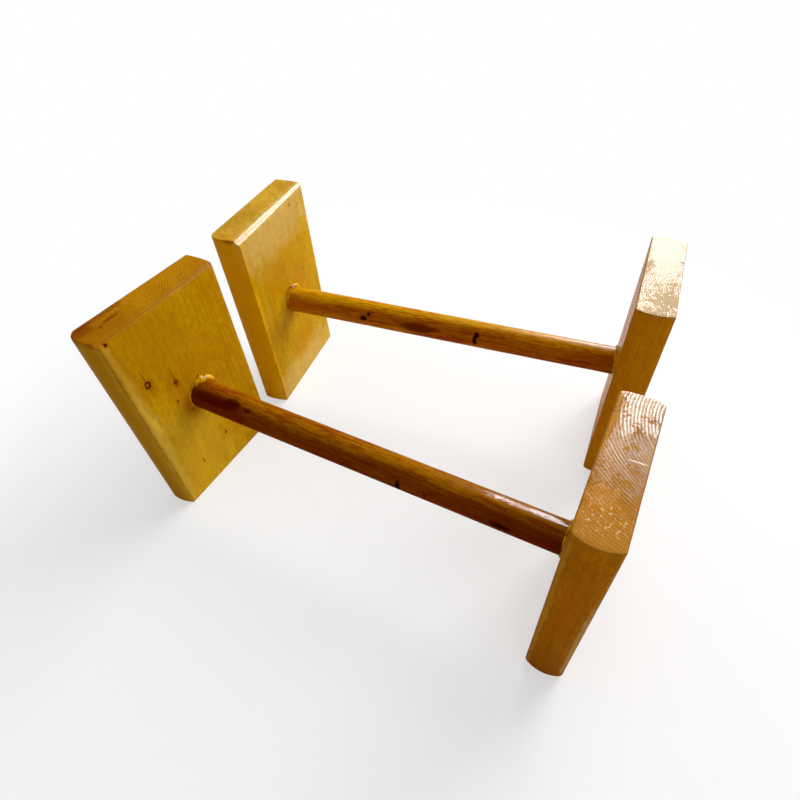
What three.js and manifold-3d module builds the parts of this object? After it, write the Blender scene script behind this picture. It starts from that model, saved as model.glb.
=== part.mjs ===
// A pair of wooden push-up stands. Each stand is two boards on end with a round grip bar between them.
// The bar is glued into a blind socket in each board and held there by one countersunk screw, whose head
// is hidden under a wood plug. Millimetres, +Z up. A stand is built about the point of the floor under
// the middle of its bar, with +X along the bar to the user's right and +Y away from the user.
import * as THREE from 'three';
import { mergeVertices, toCreasedNormals } from 'three/addons/utils/BufferGeometryUtils.js';
import Module from 'manifold-3d';

const wasm = await Module();
wasm.setup();

// Boards
const BOARD_WIDTH = 138;
const BOARD_HEIGHT = 230;
const BOARD_THICKNESS = 35;
const NEAR_SIDE_CROWN = 4.5;
const FAR_SIDE_CROWN = 2.5;
const SIDE_EDGE_RADIUS = 3;
const END_EDGE_EASE = 1.5;
const LEFT_TOP_CHAMFER = 4;

// Grip bar
const CLEAR_SPAN = 388;
const BAR_DIAMETER = 30;
const BAR_AXIS_HEIGHT = 115;
const BAR_END_CHAMFER = 1;
const SOCKET_DEPTH = 18;

// Bead of glue and varnish round the bar, where it enters a board
const BEAD_ALONG_BAR = 2.2;
const BEAD_OVER_BOARD = 1.8;
const BEAD_HOLLOW_SHARE = 0.35;

// Countersunk wood screw, from the outer side of a board into the end of the bar
const SCREW_LENGTH = 50;
const SCREW_DIAMETER = 5;
const SCREW_CORE_DIAMETER = 3.2;
const SCREW_SHANK_DIAMETER = 3.6;
const SCREW_HEAD_DIAMETER = 10;
const SCREW_HEAD_RIM = 0.4;
const SCREW_THREAD_LENGTH = 30;
const SCREW_THREAD_PITCH = 3;
const SCREW_POINT_LENGTH = 4;
const DRIVER_CROSS_SPAN = 5.2;
const DRIVER_CROSS_WIDTH = 1.3;
const DRIVER_CROSS_DEPTH = 2;

// Wood plug over a screw's head, trimmed flush with the board
const PLUG_DIAMETER = 12;
const PLUG_LENGTH = 6;

// How the pair stands, and the one board that was glued on out of square
const FAR_STAND_SETBACK = 202;
const FAR_STAND_SHIFT = -13;
const FAR_STAND_TURN = THREE.MathUtils.degToRad(8.7);
const FAR_RIGHT_BOARD_SKEW = THREE.MathUtils.degToRad(-4.5);

// Gap between two pieces that seat in or on each other, and how far a cutter runs past what it cuts
const SEAT_CLEARANCE = 0.3;
const CUTTER_OVERRUN = 5;

// Fineness of the curves
const OUTLINE_STEPS = 4;
const EDGE_STEPS = 2;
const BAR_STEPS = 40;
const PLUG_STEPS = 24;
const SCREW_STEPS = 10;
const STEPS_PER_THREAD_TURN = 4;
const CREASE_ANGLE = THREE.MathUtils.degToRad(30);

const PINE = new THREE.MeshStandardMaterial({ color: 0xb47c1e, roughness: 0.32, metalness: 0 });
const STAINED_WOOD = new THREE.MeshStandardMaterial({ color: 0x6e3510, roughness: 0.28, metalness: 0 });
const GLUE = new THREE.MeshStandardMaterial({ color: 0xa8641c, roughness: 0.15, metalness: 0 });
const PLUG_WOOD = new THREE.MeshStandardMaterial({ color: 0xa06a22, roughness: 0.35, metalness: 0 });
const STEEL = new THREE.MeshStandardMaterial({ color: 0xb8b6ad, roughness: 0.35, metalness: 1 });

// Places along a bar's axis at one of its ends, counted from the board's inner face into the board
const SCREW_HEAD_TOP = BOARD_THICKNESS - PLUG_LENGTH - SEAT_CLEARANCE;
const SCREW_TIP = SCREW_HEAD_TOP - SCREW_LENGTH;
const PILOT_RADIUS = SCREW_DIAMETER / 2 + SEAT_CLEARANCE;
const PILOT_DEPTH = SOCKET_DEPTH - SCREW_TIP + PILOT_RADIUS;

/** Makes a solid of a closed geometry, with its shared corners merged and its empty triangles left out. */
function solidFrom(geometry) {
  const bare = geometry.clone();
  bare.deleteAttribute('normal');
  bare.deleteAttribute('uv');
  const merged = mergeVertices(bare);
  const kept = [];
  for (let i = 0; i < merged.index.count; i += 3) {
    const [a, b, c] = merged.index.array.slice(i, i + 3);
    if (a !== b && b !== c && c !== a) {
      kept.push(a, b, c);
    }
  }
  const vertProperties = new Float32Array(merged.attributes.position.array);
  const triVerts = new Uint32Array(kept);
  return new wasm.Manifold(new wasm.Mesh({ numProp: 3, vertProperties, triVerts }));
}

/** Gives a solid back as a geometry that is smooth over its curves and sharp at its edges. */
function geometryFrom(solid) {
  const { vertProperties, triVerts } = solid.getMesh();
  const geometry = new THREE.BufferGeometry();
  geometry.setAttribute('position', new THREE.BufferAttribute(vertProperties, 3));
  geometry.setIndex(new THREE.BufferAttribute(triVerts, 1));
  return toCreasedNormals(geometry, CREASE_ANGLE);
}

/** Turns a profile of [place along X, radius] points round the X axis. */
function turned(profile, steps) {
  const points = profile.map(([along, radius]) => new THREE.Vector2(radius, along));
  return new THREE.LatheGeometry(points, steps).rotateZ(-Math.PI / 2);
}

/** Draws one narrow side of a board: a crowned arc over its thickness, with rounded edges. */
function drawNarrowSide(plan, side, crown) {
  const half = BOARD_THICKNESS / 2;
  const radius = (half ** 2 + crown ** 2) / (2 * crown);
  const halfAngle = Math.asin((half - SIDE_EDGE_RADIUS) / radius);
  const centreY = side * (BOARD_WIDTH / 2 - radius);
  const arcEndY = centreY + side * radius * Math.cos(halfAngle);
  const edgeY = side * (BOARD_WIDTH / 2 - crown);
  const faceEndY = edgeY - side * SIDE_EDGE_RADIUS;
  const startX = half + side * half;
  const endX = half - side * half;
  const middleAngle = side * Math.PI / 2;
  plan.lineTo(startX, faceEndY);
  plan.quadraticCurveTo(startX, edgeY, startX - side * SIDE_EDGE_RADIUS, arcEndY);
  plan.absarc(half, centreY, radius, middleAngle - halfAngle, middleAngle + halfAngle, false);
  plan.quadraticCurveTo(endX, edgeY, endX, faceEndY);
}

/**
 * A board before it is bored, about the point of its inner face that the bar's axis goes through, with
 * +X out through the board. nearSide is the Y side that faces the user.
 */
function boardBlank(nearSide, topChamfer, skew) {
  const plan = new THREE.Shape();
  plan.moveTo(0, 0);
  for (const side of [-1, 1]) {
    drawNarrowSide(plan, side, side === nearSide ? NEAR_SIDE_CROWN : FAR_SIDE_CROWN);
  }
  plan.closePath();
  const upright = new THREE.ExtrudeGeometry(plan, {
    depth: BOARD_HEIGHT - 2 * END_EDGE_EASE,
    steps: 1,
    curveSegments: OUTLINE_STEPS,
    bevelEnabled: true,
    bevelThickness: END_EDGE_EASE,
    bevelSize: END_EDGE_EASE,
    bevelOffset: -END_EDGE_EASE,
    bevelSegments: EDGE_STEPS,
  });
  upright.translate(0, 0, END_EDGE_EASE - BAR_AXIS_HEIGHT).rotateZ(skew);
  const blank = solidFrom(upright);
  if (topChamfer === 0) {
    return blank;
  }
  const cutterWidth = topChamfer * Math.SQRT2;
  const cutter = new THREE.BoxGeometry(cutterWidth, BOARD_WIDTH + 2 * CUTTER_OVERRUN, cutterWidth);
  cutter.rotateY(Math.PI / 4).translate(0, 0, BOARD_HEIGHT - BAR_AXIS_HEIGHT).rotateZ(skew);
  return blank.subtract(solidFrom(cutter));
}

/** What the drill takes out of a board: the bar's socket, the screw's hole and seat, the plug's hole. */
function boardBore() {
  const socketRadius = BAR_DIAMETER / 2 + SEAT_CLEARANCE;
  const socketFloor = SOCKET_DEPTH + SEAT_CLEARANCE;
  const seatRadius = SCREW_HEAD_DIAMETER / 2 + SEAT_CLEARANCE;
  const seatTop = SCREW_HEAD_TOP - SCREW_HEAD_RIM;
  const plugRadius = PLUG_DIAMETER / 2 + SEAT_CLEARANCE;
  const outside = BOARD_THICKNESS + CUTTER_OVERRUN;
  return solidFrom(turned([
    [-CUTTER_OVERRUN, 0],
    [-CUTTER_OVERRUN, socketRadius],
    [socketFloor, socketRadius],
    [socketFloor, PILOT_RADIUS],
    [seatTop - (seatRadius - PILOT_RADIUS), PILOT_RADIUS],
    [seatTop, seatRadius],
    [SCREW_HEAD_TOP, seatRadius],
    [SCREW_HEAD_TOP, plugRadius],
    [outside, plugRadius],
    [outside, 0],
  ], BAR_STEPS));
}

/** The grip bar along X, with its ends chamfered and a pilot hole in each for the screw. */
function gripBar() {
  const end = CLEAR_SPAN / 2 + SOCKET_DEPTH;
  const radius = BAR_DIAMETER / 2;
  const halfProfile = [
    [end - PILOT_DEPTH, 0],
    [end - PILOT_DEPTH + PILOT_RADIUS, PILOT_RADIUS],
    [end, PILOT_RADIUS],
    [end, radius - BAR_END_CHAMFER],
    [end - BAR_END_CHAMFER, radius],
  ];
  const mirrored = halfProfile.map(([along, r]) => [-along, r]);
  return solidFrom(turned([...mirrored, ...halfProfile.reverse()], BAR_STEPS));
}

/** The bead round the bar, hollowed like a fillet, and sheared to lie along a board that is skewed. */
function glueBead(skew) {
  const inner = BAR_DIAMETER / 2 + SEAT_CLEARANCE;
  const hollowAlong = SEAT_CLEARANCE + BEAD_HOLLOW_SHARE * BEAD_ALONG_BAR;
  const ring = turned([
    [-SEAT_CLEARANCE, inner],
    [-SEAT_CLEARANCE - BEAD_ALONG_BAR, inner],
    [-hollowAlong, inner + BEAD_HOLLOW_SHARE * BEAD_OVER_BOARD],
    [-SEAT_CLEARANCE, inner + BEAD_OVER_BOARD],
    [-SEAT_CLEARANCE, inner],
  ], BAR_STEPS);
  ring.applyMatrix4(new THREE.Matrix4().makeShear(0, 0, -Math.tan(skew), 0, 0, 0));
  return solidFrom(ring);
}

/** The plug over the screw's head, cut off level with the board's outer face. */
function woodPlug(blank) {
  const start = BOARD_THICKNESS - PLUG_LENGTH;
  const outside = BOARD_THICKNESS + CUTTER_OVERRUN;
  const radius = PLUG_DIAMETER / 2;
  const stock = turned([[start, 0], [start, radius], [outside, radius], [outside, 0]], PLUG_STEPS);
  return solidFrom(stock).intersect(blank);
}

/** Closes a row of rings round the X axis into a body. A ring is { along, radiusAt(angle) }. */
function ringedBody(rings) {
  const positions = [rings[0].along, 0, 0];
  for (const { along, radiusAt } of rings) {
    for (let step = 0; step < SCREW_STEPS; step += 1) {
      const angle = (2 * Math.PI * step) / SCREW_STEPS;
      positions.push(along, radiusAt(angle) * Math.cos(angle), radiusAt(angle) * Math.sin(angle));
    }
  }
  positions.push(rings.at(-1).along, 0, 0);
  const last = positions.length / 3 - 1;
  const corner = (ring, step) => 1 + ring * SCREW_STEPS + (step % SCREW_STEPS);
  const faces = [];
  for (let step = 0; step < SCREW_STEPS; step += 1) {
    faces.push(0, corner(0, step + 1), corner(0, step));
    for (let ring = 0; ring < rings.length - 1; ring += 1) {
      const [a, b] = [corner(ring, step), corner(ring, step + 1)];
      const [c, d] = [corner(ring + 1, step), corner(ring + 1, step + 1)];
      faces.push(a, b, c, b, d, c);
    }
    faces.push(last, corner(rings.length - 1, step), corner(rings.length - 1, step + 1));
  }
  const geometry = new THREE.BufferGeometry();
  geometry.setAttribute('position', new THREE.Float32BufferAttribute(positions, 3));
  geometry.setIndex(faces);
  return geometry;
}

/** A wood screw with its tip toward -X, a thread that winds round its core, and a cross in its head. */
function woodScrew() {
  const core = SCREW_CORE_DIAMETER / 2;
  const shank = SCREW_SHANK_DIAMETER / 2;
  const head = SCREW_HEAD_DIAMETER / 2;
  const threadStart = SCREW_TIP + SCREW_POINT_LENGTH;
  const threadRows = Math.round(
    STEPS_PER_THREAD_TURN * (SCREW_THREAD_LENGTH - SCREW_POINT_LENGTH) / SCREW_THREAD_PITCH,
  );
  const threadEnd = SCREW_TIP + SCREW_THREAD_LENGTH;
  const ridge = SCREW_DIAMETER / 2 - core;
  const round = (radius) => () => radius;
  const rings = [{ along: SCREW_TIP, radiusAt: round(core / STEPS_PER_THREAD_TURN) }];
  for (let row = 0; row <= threadRows; row += 1) {
    const share = row / threadRows;
    const along = THREE.MathUtils.lerp(threadStart, threadEnd, share);
    const fade = Math.min(1, share * STEPS_PER_THREAD_TURN, (1 - share) * STEPS_PER_THREAD_TURN);
    const radiusAt = (angle) => {
      const turns = row / STEPS_PER_THREAD_TURN + angle / (2 * Math.PI);
      const rise = 1 - Math.abs(2 * (turns - Math.floor(turns)) - 1);
      return core + ridge * fade * rise;
    };
    rings.push({ along, radiusAt });
  }
  const coneTop = SCREW_HEAD_TOP - SCREW_HEAD_RIM;
  rings.push({ along: coneTop - (head - shank), radiusAt: round(shank) });
  rings.push({ along: coneTop, radiusAt: round(head) });
  rings.push({ along: SCREW_HEAD_TOP, radiusAt: round(head) });
  let screw = solidFrom(ringedBody(rings));
  const slotHeight = DRIVER_CROSS_DEPTH + CUTTER_OVERRUN;
  for (const [across, up] of [
    [DRIVER_CROSS_SPAN, DRIVER_CROSS_WIDTH],
    [DRIVER_CROSS_WIDTH, DRIVER_CROSS_SPAN],
  ]) {
    const slot = new THREE.BoxGeometry(slotHeight, across, up);
    slot.translate(SCREW_HEAD_TOP - DRIVER_CROSS_DEPTH + slotHeight / 2, 0, 0);
    screw = screw.subtract(solidFrom(slot));
  }
  return screw;
}

/** Adds a piece to a group under its node's name. */
function addPiece(group, name, solid, material) {
  const mesh = new THREE.Mesh(geometryFrom(solid), material);
  mesh.name = name;
  group.add(mesh);
}

/** One end of a stand, about the point where the bar's axis meets the board's inner face. */
function standEnd(name, nearSide, topChamfer, skew) {
  const end = new THREE.Group();
  const blank = boardBlank(nearSide, topChamfer, skew);
  addPiece(end, `${name}_board`, blank.subtract(boardBore()), PINE);
  addPiece(end, `${name}_glue_bead`, glueBead(skew), GLUE);
  addPiece(end, `${name}_screw`, woodScrew(), STEEL);
  addPiece(end, `${name}_plug`, woodPlug(blank), PLUG_WOOD);
  end.position.z = BAR_AXIS_HEIGHT;
  return end;
}

/** A whole stand. Its left end is its right end turned half round. */
function stand(name, rightSkew) {
  const whole = new THREE.Group();
  const left = standEnd(`${name}_left`, 1, LEFT_TOP_CHAMFER, 0);
  left.position.x = -CLEAR_SPAN / 2;
  left.rotation.z = Math.PI;
  const right = standEnd(`${name}_right`, -1, 0, rightSkew);
  right.position.x = CLEAR_SPAN / 2;
  const middle = new THREE.Group();
  middle.position.z = BAR_AXIS_HEIGHT;
  addPiece(middle, `${name}_grip_bar`, gripBar(), STAINED_WOOD);
  whole.add(left, right, middle);
  return whole;
}

const nearStand = stand('near', 0);
const farStand = stand('far', FAR_RIGHT_BOARD_SKEW);
farStand.position.set(FAR_STAND_SHIFT, FAR_STAND_SETBACK, 0);
farStand.rotation.z = FAR_STAND_TURN;

const pair = new THREE.Group();
pair.add(nearStand, farStand);

// The origin goes to the middle of the floor under the pair
const middleOfPair = new THREE.Box3().setFromObject(pair, true).getCenter(new THREE.Vector3());
pair.position.set(-middleOfPair.x, -middleOfPair.y, 0);

export default pair;
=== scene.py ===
"""A pair of wooden push-up stands, dressed and lit for a studio photograph.

Each stand is two upright boards of varnished pine with a round, darker bar between them. The boards,
bars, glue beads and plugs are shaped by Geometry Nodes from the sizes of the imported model, and the
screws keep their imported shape. All wood is procedural: its growth rings are worked out in three
dimensions from where each board was sawn, so that faces and end grain belong together.
"""

from __future__ import annotations

import logging
import math
from dataclasses import dataclass
from enum import Enum
from typing import Callable, Mapping, Sequence, Union

import bpy
from mathutils import Euler, Matrix, Vector

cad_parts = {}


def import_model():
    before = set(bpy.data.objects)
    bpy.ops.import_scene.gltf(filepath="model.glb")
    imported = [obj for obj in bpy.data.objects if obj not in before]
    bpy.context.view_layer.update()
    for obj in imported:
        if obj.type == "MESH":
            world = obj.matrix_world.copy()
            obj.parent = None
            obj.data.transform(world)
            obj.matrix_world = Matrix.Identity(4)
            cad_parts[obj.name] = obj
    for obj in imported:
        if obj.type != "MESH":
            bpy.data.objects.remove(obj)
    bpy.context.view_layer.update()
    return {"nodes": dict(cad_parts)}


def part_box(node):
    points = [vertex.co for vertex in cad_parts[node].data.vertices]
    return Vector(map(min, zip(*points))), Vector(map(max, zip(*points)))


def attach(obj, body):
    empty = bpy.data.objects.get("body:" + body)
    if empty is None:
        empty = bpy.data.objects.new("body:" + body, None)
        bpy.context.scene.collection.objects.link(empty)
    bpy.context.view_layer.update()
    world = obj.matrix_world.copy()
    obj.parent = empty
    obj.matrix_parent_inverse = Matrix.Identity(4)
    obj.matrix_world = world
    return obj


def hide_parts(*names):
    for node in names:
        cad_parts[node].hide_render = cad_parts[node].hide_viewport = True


LOG = logging.getLogger("push_up_stands")
MM = 0.001
TINY = 1e-9
SMOOTH_EDGE_ANGLE = math.radians(35)
ALONG_X = (0.0, math.pi / 2, 0.0)
SHEEN = 0.012
COAT_ROUGHNESS = 0.1
NOISE_ROUGHNESS = 0.55

Operand = Union[float, int, Sequence[float], "Signal"]
Colour = tuple[float, float, float]
Fade = tuple[float, float]
Span = tuple[float, float, float, float]


class Input(Enum):
    """The kinds of named input that a Geometry Nodes recipe takes."""

    SIZE = "NodeSocketFloat"
    POINT = "NodeSocketVector"
    FINISH = "NodeSocketMaterial"


class Side(Enum):
    """Which end of a stand a board is at; the value points outward along the bar."""

    LEFT = -1
    RIGHT = 1


def operator(operation: str, reflected: bool = False) -> Callable[["Signal", Operand], "Signal"]:
    """Makes an arithmetic method of Signal.

    Args:
        operation: The operation of the Math or Vector Math node that the method adds.
        reflected: Whether the signal is the second operand.

    Returns:
        The method.
    """

    def combine(self: "Signal", other: Operand) -> "Signal":
        """Adds the node.

        Args:
            self: The signal.
            other: The other operand.

        Returns:
            The node's result.
        """
        first, second = (other, self) if reflected else (self, other)
        kind = "ShaderNodeVectorMath" if is_vector(first) or is_vector(second) else "ShaderNodeMath"
        return self.graph.add(kind, {"operation": operation}, {0: first, 1: second})

    return combine


class Signal:
    """An output socket that takes part in Python arithmetic."""

    __add__ = operator("ADD")
    __radd__ = operator("ADD", reflected=True)
    __sub__ = operator("SUBTRACT")
    __rsub__ = operator("SUBTRACT", reflected=True)
    __mul__ = operator("MULTIPLY")
    __rmul__ = operator("MULTIPLY", reflected=True)
    __truediv__ = operator("DIVIDE")

    def __init__(self, graph: "Graph", socket: bpy.types.NodeSocket) -> None:
        """Wraps a socket.

        Args:
            graph: The graph that the socket belongs to.
            socket: The output socket.
        """
        self.graph = graph
        self.socket = socket
        self._parts: list[Signal] = []

    def call(self, operation: str, *others: Operand) -> "Signal":
        """Applies a Math operation, such as SQRT or MAXIMUM, to this number and its further operands."""
        operands = dict(enumerate((self, *others)))
        return self.graph.add("ShaderNodeMath", {"operation": operation}, operands)

    def ramp(
        self, start: Operand, end: Operand, low: Operand = 0.0, high: Operand = 1.0, curve: str = "LINEAR"
    ) -> "Signal":
        """Maps a range of this number onto another, clamped at both ends.

        Args:
            start: Where the range starts.
            end: Where it ends.
            low: The result at its start.
            high: The result at its end.
            curve: LINEAR or SMOOTHSTEP.

        Returns:
            The mapped number.
        """
        inputs = {"Value": self, "From Min": start, "From Max": end, "To Min": low, "To Max": high}
        return self.graph.add("ShaderNodeMapRange", {"interpolation_type": curve}, inputs)

    def fade(self, start: Operand, end: Operand) -> "Signal":
        """Rises smoothly from 0 where this number is start to 1 where it is end."""
        return self.ramp(start, end, curve="SMOOTHSTEP")

    def above(self, least: float) -> "Signal":
        """Raises this number, from 0 to 1, so that it goes from least to 1."""
        return least + self * (1.0 - least)

    def hypot(self, other: "Signal") -> "Signal":
        """The long side of a right angle with these two sides."""
        return (self * self + other * other).call("SQRT")

    def noise(self, grain: "Grain", seed: Operand = 0.0) -> "Signal":
        """Gives smooth noise between about 0 and 1 at this point.

        Args:
            grain: The kind of noise.
            seed: The piece's own seed, to which the grain's is added.

        Returns:
            The noise.
        """
        inputs = {"Vector": self * grain.stretch, "W": seed + grain.seed, "Scale": 1.0}
        inputs.update({"Detail": grain.detail, "Roughness": NOISE_ROUGHNESS})
        return self.graph.add("ShaderNodeTexNoise", {"noise_dimensions": "4D"}, inputs)

    @property
    def parts(self) -> list["Signal"]:
        """The three components of a vector, split once."""
        if not self._parts:
            split = self.graph.add("ShaderNodeSeparateXYZ", {}, {0: self}).socket.node
            self._parts = [Signal(self.graph, socket) for socket in split.outputs]
        return self._parts


def is_vector(operand: Operand) -> bool:
    """Tells whether an operand has three components."""
    if isinstance(operand, Signal):
        return operand.socket.type == "VECTOR"
    return not isinstance(operand, (int, float))


def opaque(colour: object) -> object:
    """Gives a plain colour its alpha, and leaves a signal as it is."""
    return colour if isinstance(colour, Signal) else (*colour, 1.0)


@dataclass(frozen=True)
class Grain:
    """A kind of noise: its lumps per unit along each axis, its finer layers and its own seed."""

    stretch: tuple[float, float, float]
    detail: float = 3.0
    seed: float = 0.0


class Graph:
    """A node tree, with the one method that adds any node."""

    def __init__(self, tree: bpy.types.NodeTree) -> None:
        """Keeps a shader or Geometry Nodes tree."""
        self.tree = tree

    def add(
        self,
        kind: str,
        settings: Mapping[str, object] | None = None,
        inputs: Mapping[str | int, object] | None = None,
        out: str | int = 0,
    ) -> Signal:
        """Adds a node of any type.

        Args:
            kind: The node's type name.
            settings: Its properties, set before its sockets.
            inputs: Values, signals or lists of signals by socket name or number.
            out: The name or number of the output that is handed back.

        Returns:
            That output.
        """
        node = self.tree.nodes.new(kind)
        for name, value in (settings or {}).items():
            setattr(node, name, value)
        for key, value in (inputs or {}).items():
            self.feed(self._open(node.inputs, key), value)
        return Signal(self, self._open(node.outputs, out))

    @staticmethod
    def _open(sockets: Sequence[bpy.types.NodeSocket], key: str | int) -> bpy.types.NodeSocket:
        """Finds a socket that is in use by its name, or any by its number."""
        if isinstance(key, int):
            return sockets[key]
        return next(socket for socket in sockets if socket.name == key and socket.enabled)

    def feed(self, socket: bpy.types.NodeSocket, value: object) -> None:
        """Links or sets an input socket.

        Args:
            socket: The input.
            value: A signal, a list of signals, or a plain value.
        """
        if isinstance(value, Signal):
            value = [value]
        if isinstance(value, list):
            for signal in value:
                self.tree.links.new(signal.socket, socket)
        elif socket.type == "VECTOR" and isinstance(value, (int, float)):
            socket.default_value = (value, value, value)
        else:
            socket.default_value = value

    def here(self) -> Signal:
        """The position of the point that Geometry Nodes work on."""
        return self.add("GeometryNodeInputPosition")

    def point(self, x: Operand, y: Operand, z: Operand) -> Signal:
        """Makes a vector of three numbers."""
        return self.add("ShaderNodeCombineXYZ", {}, {0: x, 1: y, 2: z})

    def blend(self, factor: Operand, first: object, second: object) -> Signal:
        """Mixes a colour with as much of a second one as the factor says."""
        inputs = {"Factor": factor, "A": opaque(first), "B": opaque(second)}
        return self.add("ShaderNodeMix", {"data_type": "RGBA"}, inputs, "Result")


GROWTH_LABELS = ("pith x", "pith y", "lean x", "lean y", "spacing", "seed")
RING_BEND = Grain((0.016, 0.016, 0.005), 1.0)
RING_WAVE = Grain((0.09, 0.09, 0.01), 1.0)
RING_BEND_SIZE = 9.0
RING_WAVE_SIZE = 1.6
LATEWOOD_FULL = 0.88
LATEWOOD_STOP = 0.93


@dataclass(frozen=True)
class Growth:
    """Where a board was sawn from its tree, in millimetres outward and across to the far side.

    The lean is how far the pith wanders for each millimetre of height.
    """

    pith_outward: float
    pith_across: float
    lean_outward: float
    lean_across: float
    spacing: float
    seed: float

    def values(self, far_sign: float) -> dict[str, float]:
        """Turns the growth into a board's own frame.

        Args:
            far_sign: 1 where the board's own Y points to the far side, or -1.

        Returns:
            The values by GROWTH_LABELS.
        """
        pith, lean = self.pith_across * far_sign, self.lean_across * far_sign
        measures = (self.pith_outward, pith, self.lean_outward, lean, self.spacing, self.seed)
        return dict(zip(GROWTH_LABELS, measures))


def ring_number(point: Signal, growth: Mapping[str, Operand]) -> Signal:
    """Counts growth rings out from the pith, in a shader or in Geometry Nodes.

    Args:
        point: The point in the board's own frame, in millimetres.
        growth: Numbers or signals by GROWTH_LABELS.

    Returns:
        The number of rings, whose whole part names the ring.
    """
    x, y, z = point.parts
    from_pith_x = x - growth["pith x"] - z * growth["lean x"]
    from_pith_y = y - growth["pith y"] - z * growth["lean y"]
    bend = (point.noise(RING_BEND, growth["seed"]) - 0.5) * RING_BEND_SIZE
    wave = (point.noise(RING_WAVE, growth["seed"]) - 0.5) * RING_WAVE_SIZE
    return (from_pith_x.hypot(from_pith_y) + bend + wave) / growth["spacing"]


def latewood(rings: Signal, onset: float = 0.3) -> Signal:
    """The dark, hard part of each ring: it sets in slowly and ends at once.

    Args:
        rings: The number of rings.
        onset: Where in the ring it starts to show, from 0 to 1.

    Returns:
        How much of the wood is latewood, from 0 to 1.
    """
    share = rings.call("FRACT")
    return share.fade(onset, LATEWOOD_FULL) * (1.0 - share.fade(LATEWOOD_STOP, 1.0))


class Recipe:
    """A Geometry Nodes tree with named inputs, from which plain meshes are cast.

    It takes the sizes that it names and, like all recipes, a place, a turn about Z and a finish.
    """

    def __init__(self, name: str, sizes: Sequence[str]) -> None:
        """Opens the tree.

        Args:
            name: The tree's name.
            sizes: The names of its sizes.
        """
        self.tree = bpy.data.node_groups.new(name, "GeometryNodeTree")
        self.tree.interface.new_socket(name="Piece", in_out="OUTPUT", socket_type="NodeSocketGeometry")
        kinds = {label: Input.SIZE for label in (*sizes, "Turn")}
        for label, kind in {**kinds, "Place": Input.POINT, "Finish": Input.FINISH}.items():
            self.tree.interface.new_socket(name=label, in_out="INPUT", socket_type=kind.value)
        self.graph = Graph(self.tree)
        self._entry = self.tree.nodes.new("NodeGroupInput")

    def given(self, label: str) -> Signal:
        """The named input as a signal."""
        return Signal(self.graph, self._entry.outputs[label])

    def moved(self, mesh: Signal, **how: Operand) -> Signal:
        """Sets the points of a mesh to a Position, or moves them by an Offset."""
        return self.graph.add("GeometryNodeSetPosition", {}, {"Geometry": mesh, **how})

    def placed(self, mesh: Signal, turn: Operand, place: Operand = (0.0, 0.0, 0.0)) -> Signal:
        """Turns a mesh about its origin and then puts it in its place."""
        inputs = {"Geometry": mesh, "Translation": place, "Rotation": turn}
        return self.graph.add("GeometryNodeTransform", {}, inputs)

    def kept(self, mesh: Signal, label: str, value: Signal) -> Signal:
        """Stores a number on every point under a name that materials read."""
        inputs = {"Geometry": mesh, "Name": label, "Value": value}
        return self.graph.add("GeometryNodeStoreNamedAttribute", {"domain": "POINT"}, inputs)

    def bored(self, mesh: Signal, cutters: list[Signal]) -> Signal:
        """Takes cutters away from a solid."""
        settings = {"operation": "DIFFERENCE", "solver": "MANIFOLD"}
        return self.graph.add("GeometryNodeMeshBoolean", settings, {"Mesh 1": mesh, "Mesh 2": cutters})

    def drill(self, start: Operand, end: Signal, radius: Operand, height: Operand, sides: int) -> Signal:
        """Makes a cylinder along X that cuts a hole.

        Args:
            start: Where it starts along X.
            end: Where it ends along X.
            radius: Its radius.
            height: The height of its axis.
            sides: How many sides it has.

        Returns:
            The cutter's mesh.
        """
        length = end - start
        inputs = {"Vertices": sides, "Radius": radius, "Depth": length}
        rod = self.graph.add("GeometryNodeMeshCylinder", {}, inputs)
        return self.placed(rod, ALONG_X, self.graph.point(end - length * 0.5, 0.0, height))

    def close(self, mesh: Signal) -> None:
        """Ends the tree: placed, smooth but for its sharp edges, realized and finished.

        Args:
            mesh: The shaped mesh.
        """
        graph = self.graph
        mesh = self.placed(mesh, graph.point(0.0, 0.0, self.given("Turn")), self.given("Place"))
        sharp = graph.add("GeometryNodeInputMeshEdgeAngle").call("GREATER_THAN", SMOOTH_EDGE_ANGLE)
        mesh = graph.add("GeometryNodeSetShadeSmooth", {"domain": "FACE"}, {0: mesh, "Shade Smooth": True})
        inputs = {0: mesh, "Selection": sharp, "Shade Smooth": False}
        mesh = graph.add("GeometryNodeSetShadeSmooth", {"domain": "EDGE"}, inputs)
        mesh = graph.add("GeometryNodeRealizeInstances", {}, {"Geometry": mesh})
        mesh = graph.add("GeometryNodeSetMaterial", {}, {"Geometry": mesh, "Material": self.given("Finish")})
        way_out = self.tree.nodes.new("NodeGroupOutput")
        self.tree.links.new(mesh.socket, way_out.inputs["Piece"])

    def cast(self, name: str, values: Mapping[str, object]) -> bpy.types.Object:
        """Runs the tree once and keeps the plain mesh.

        Args:
            name: The new piece's name.
            values: A value for each named input. Others in it are passed over.

        Returns:
            The piece, at the origin, with no modifier.
        """
        piece = bpy.data.objects.new(name, bpy.data.meshes.new(name))
        bpy.context.scene.collection.objects.link(piece)
        modifier = piece.modifiers.new("shape", "NODES")
        modifier.node_group = self.tree
        for item in self.tree.interface.items_tree:
            if item.in_out == "INPUT":
                modifier[item.identifier] = values[item.name]
        evaluated = piece.evaluated_get(bpy.context.evaluated_depsgraph_get())
        plain = bpy.data.meshes.new_from_object(evaluated)
        piece.modifiers.remove(modifier)
        piece.data = plain
        return piece


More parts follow.
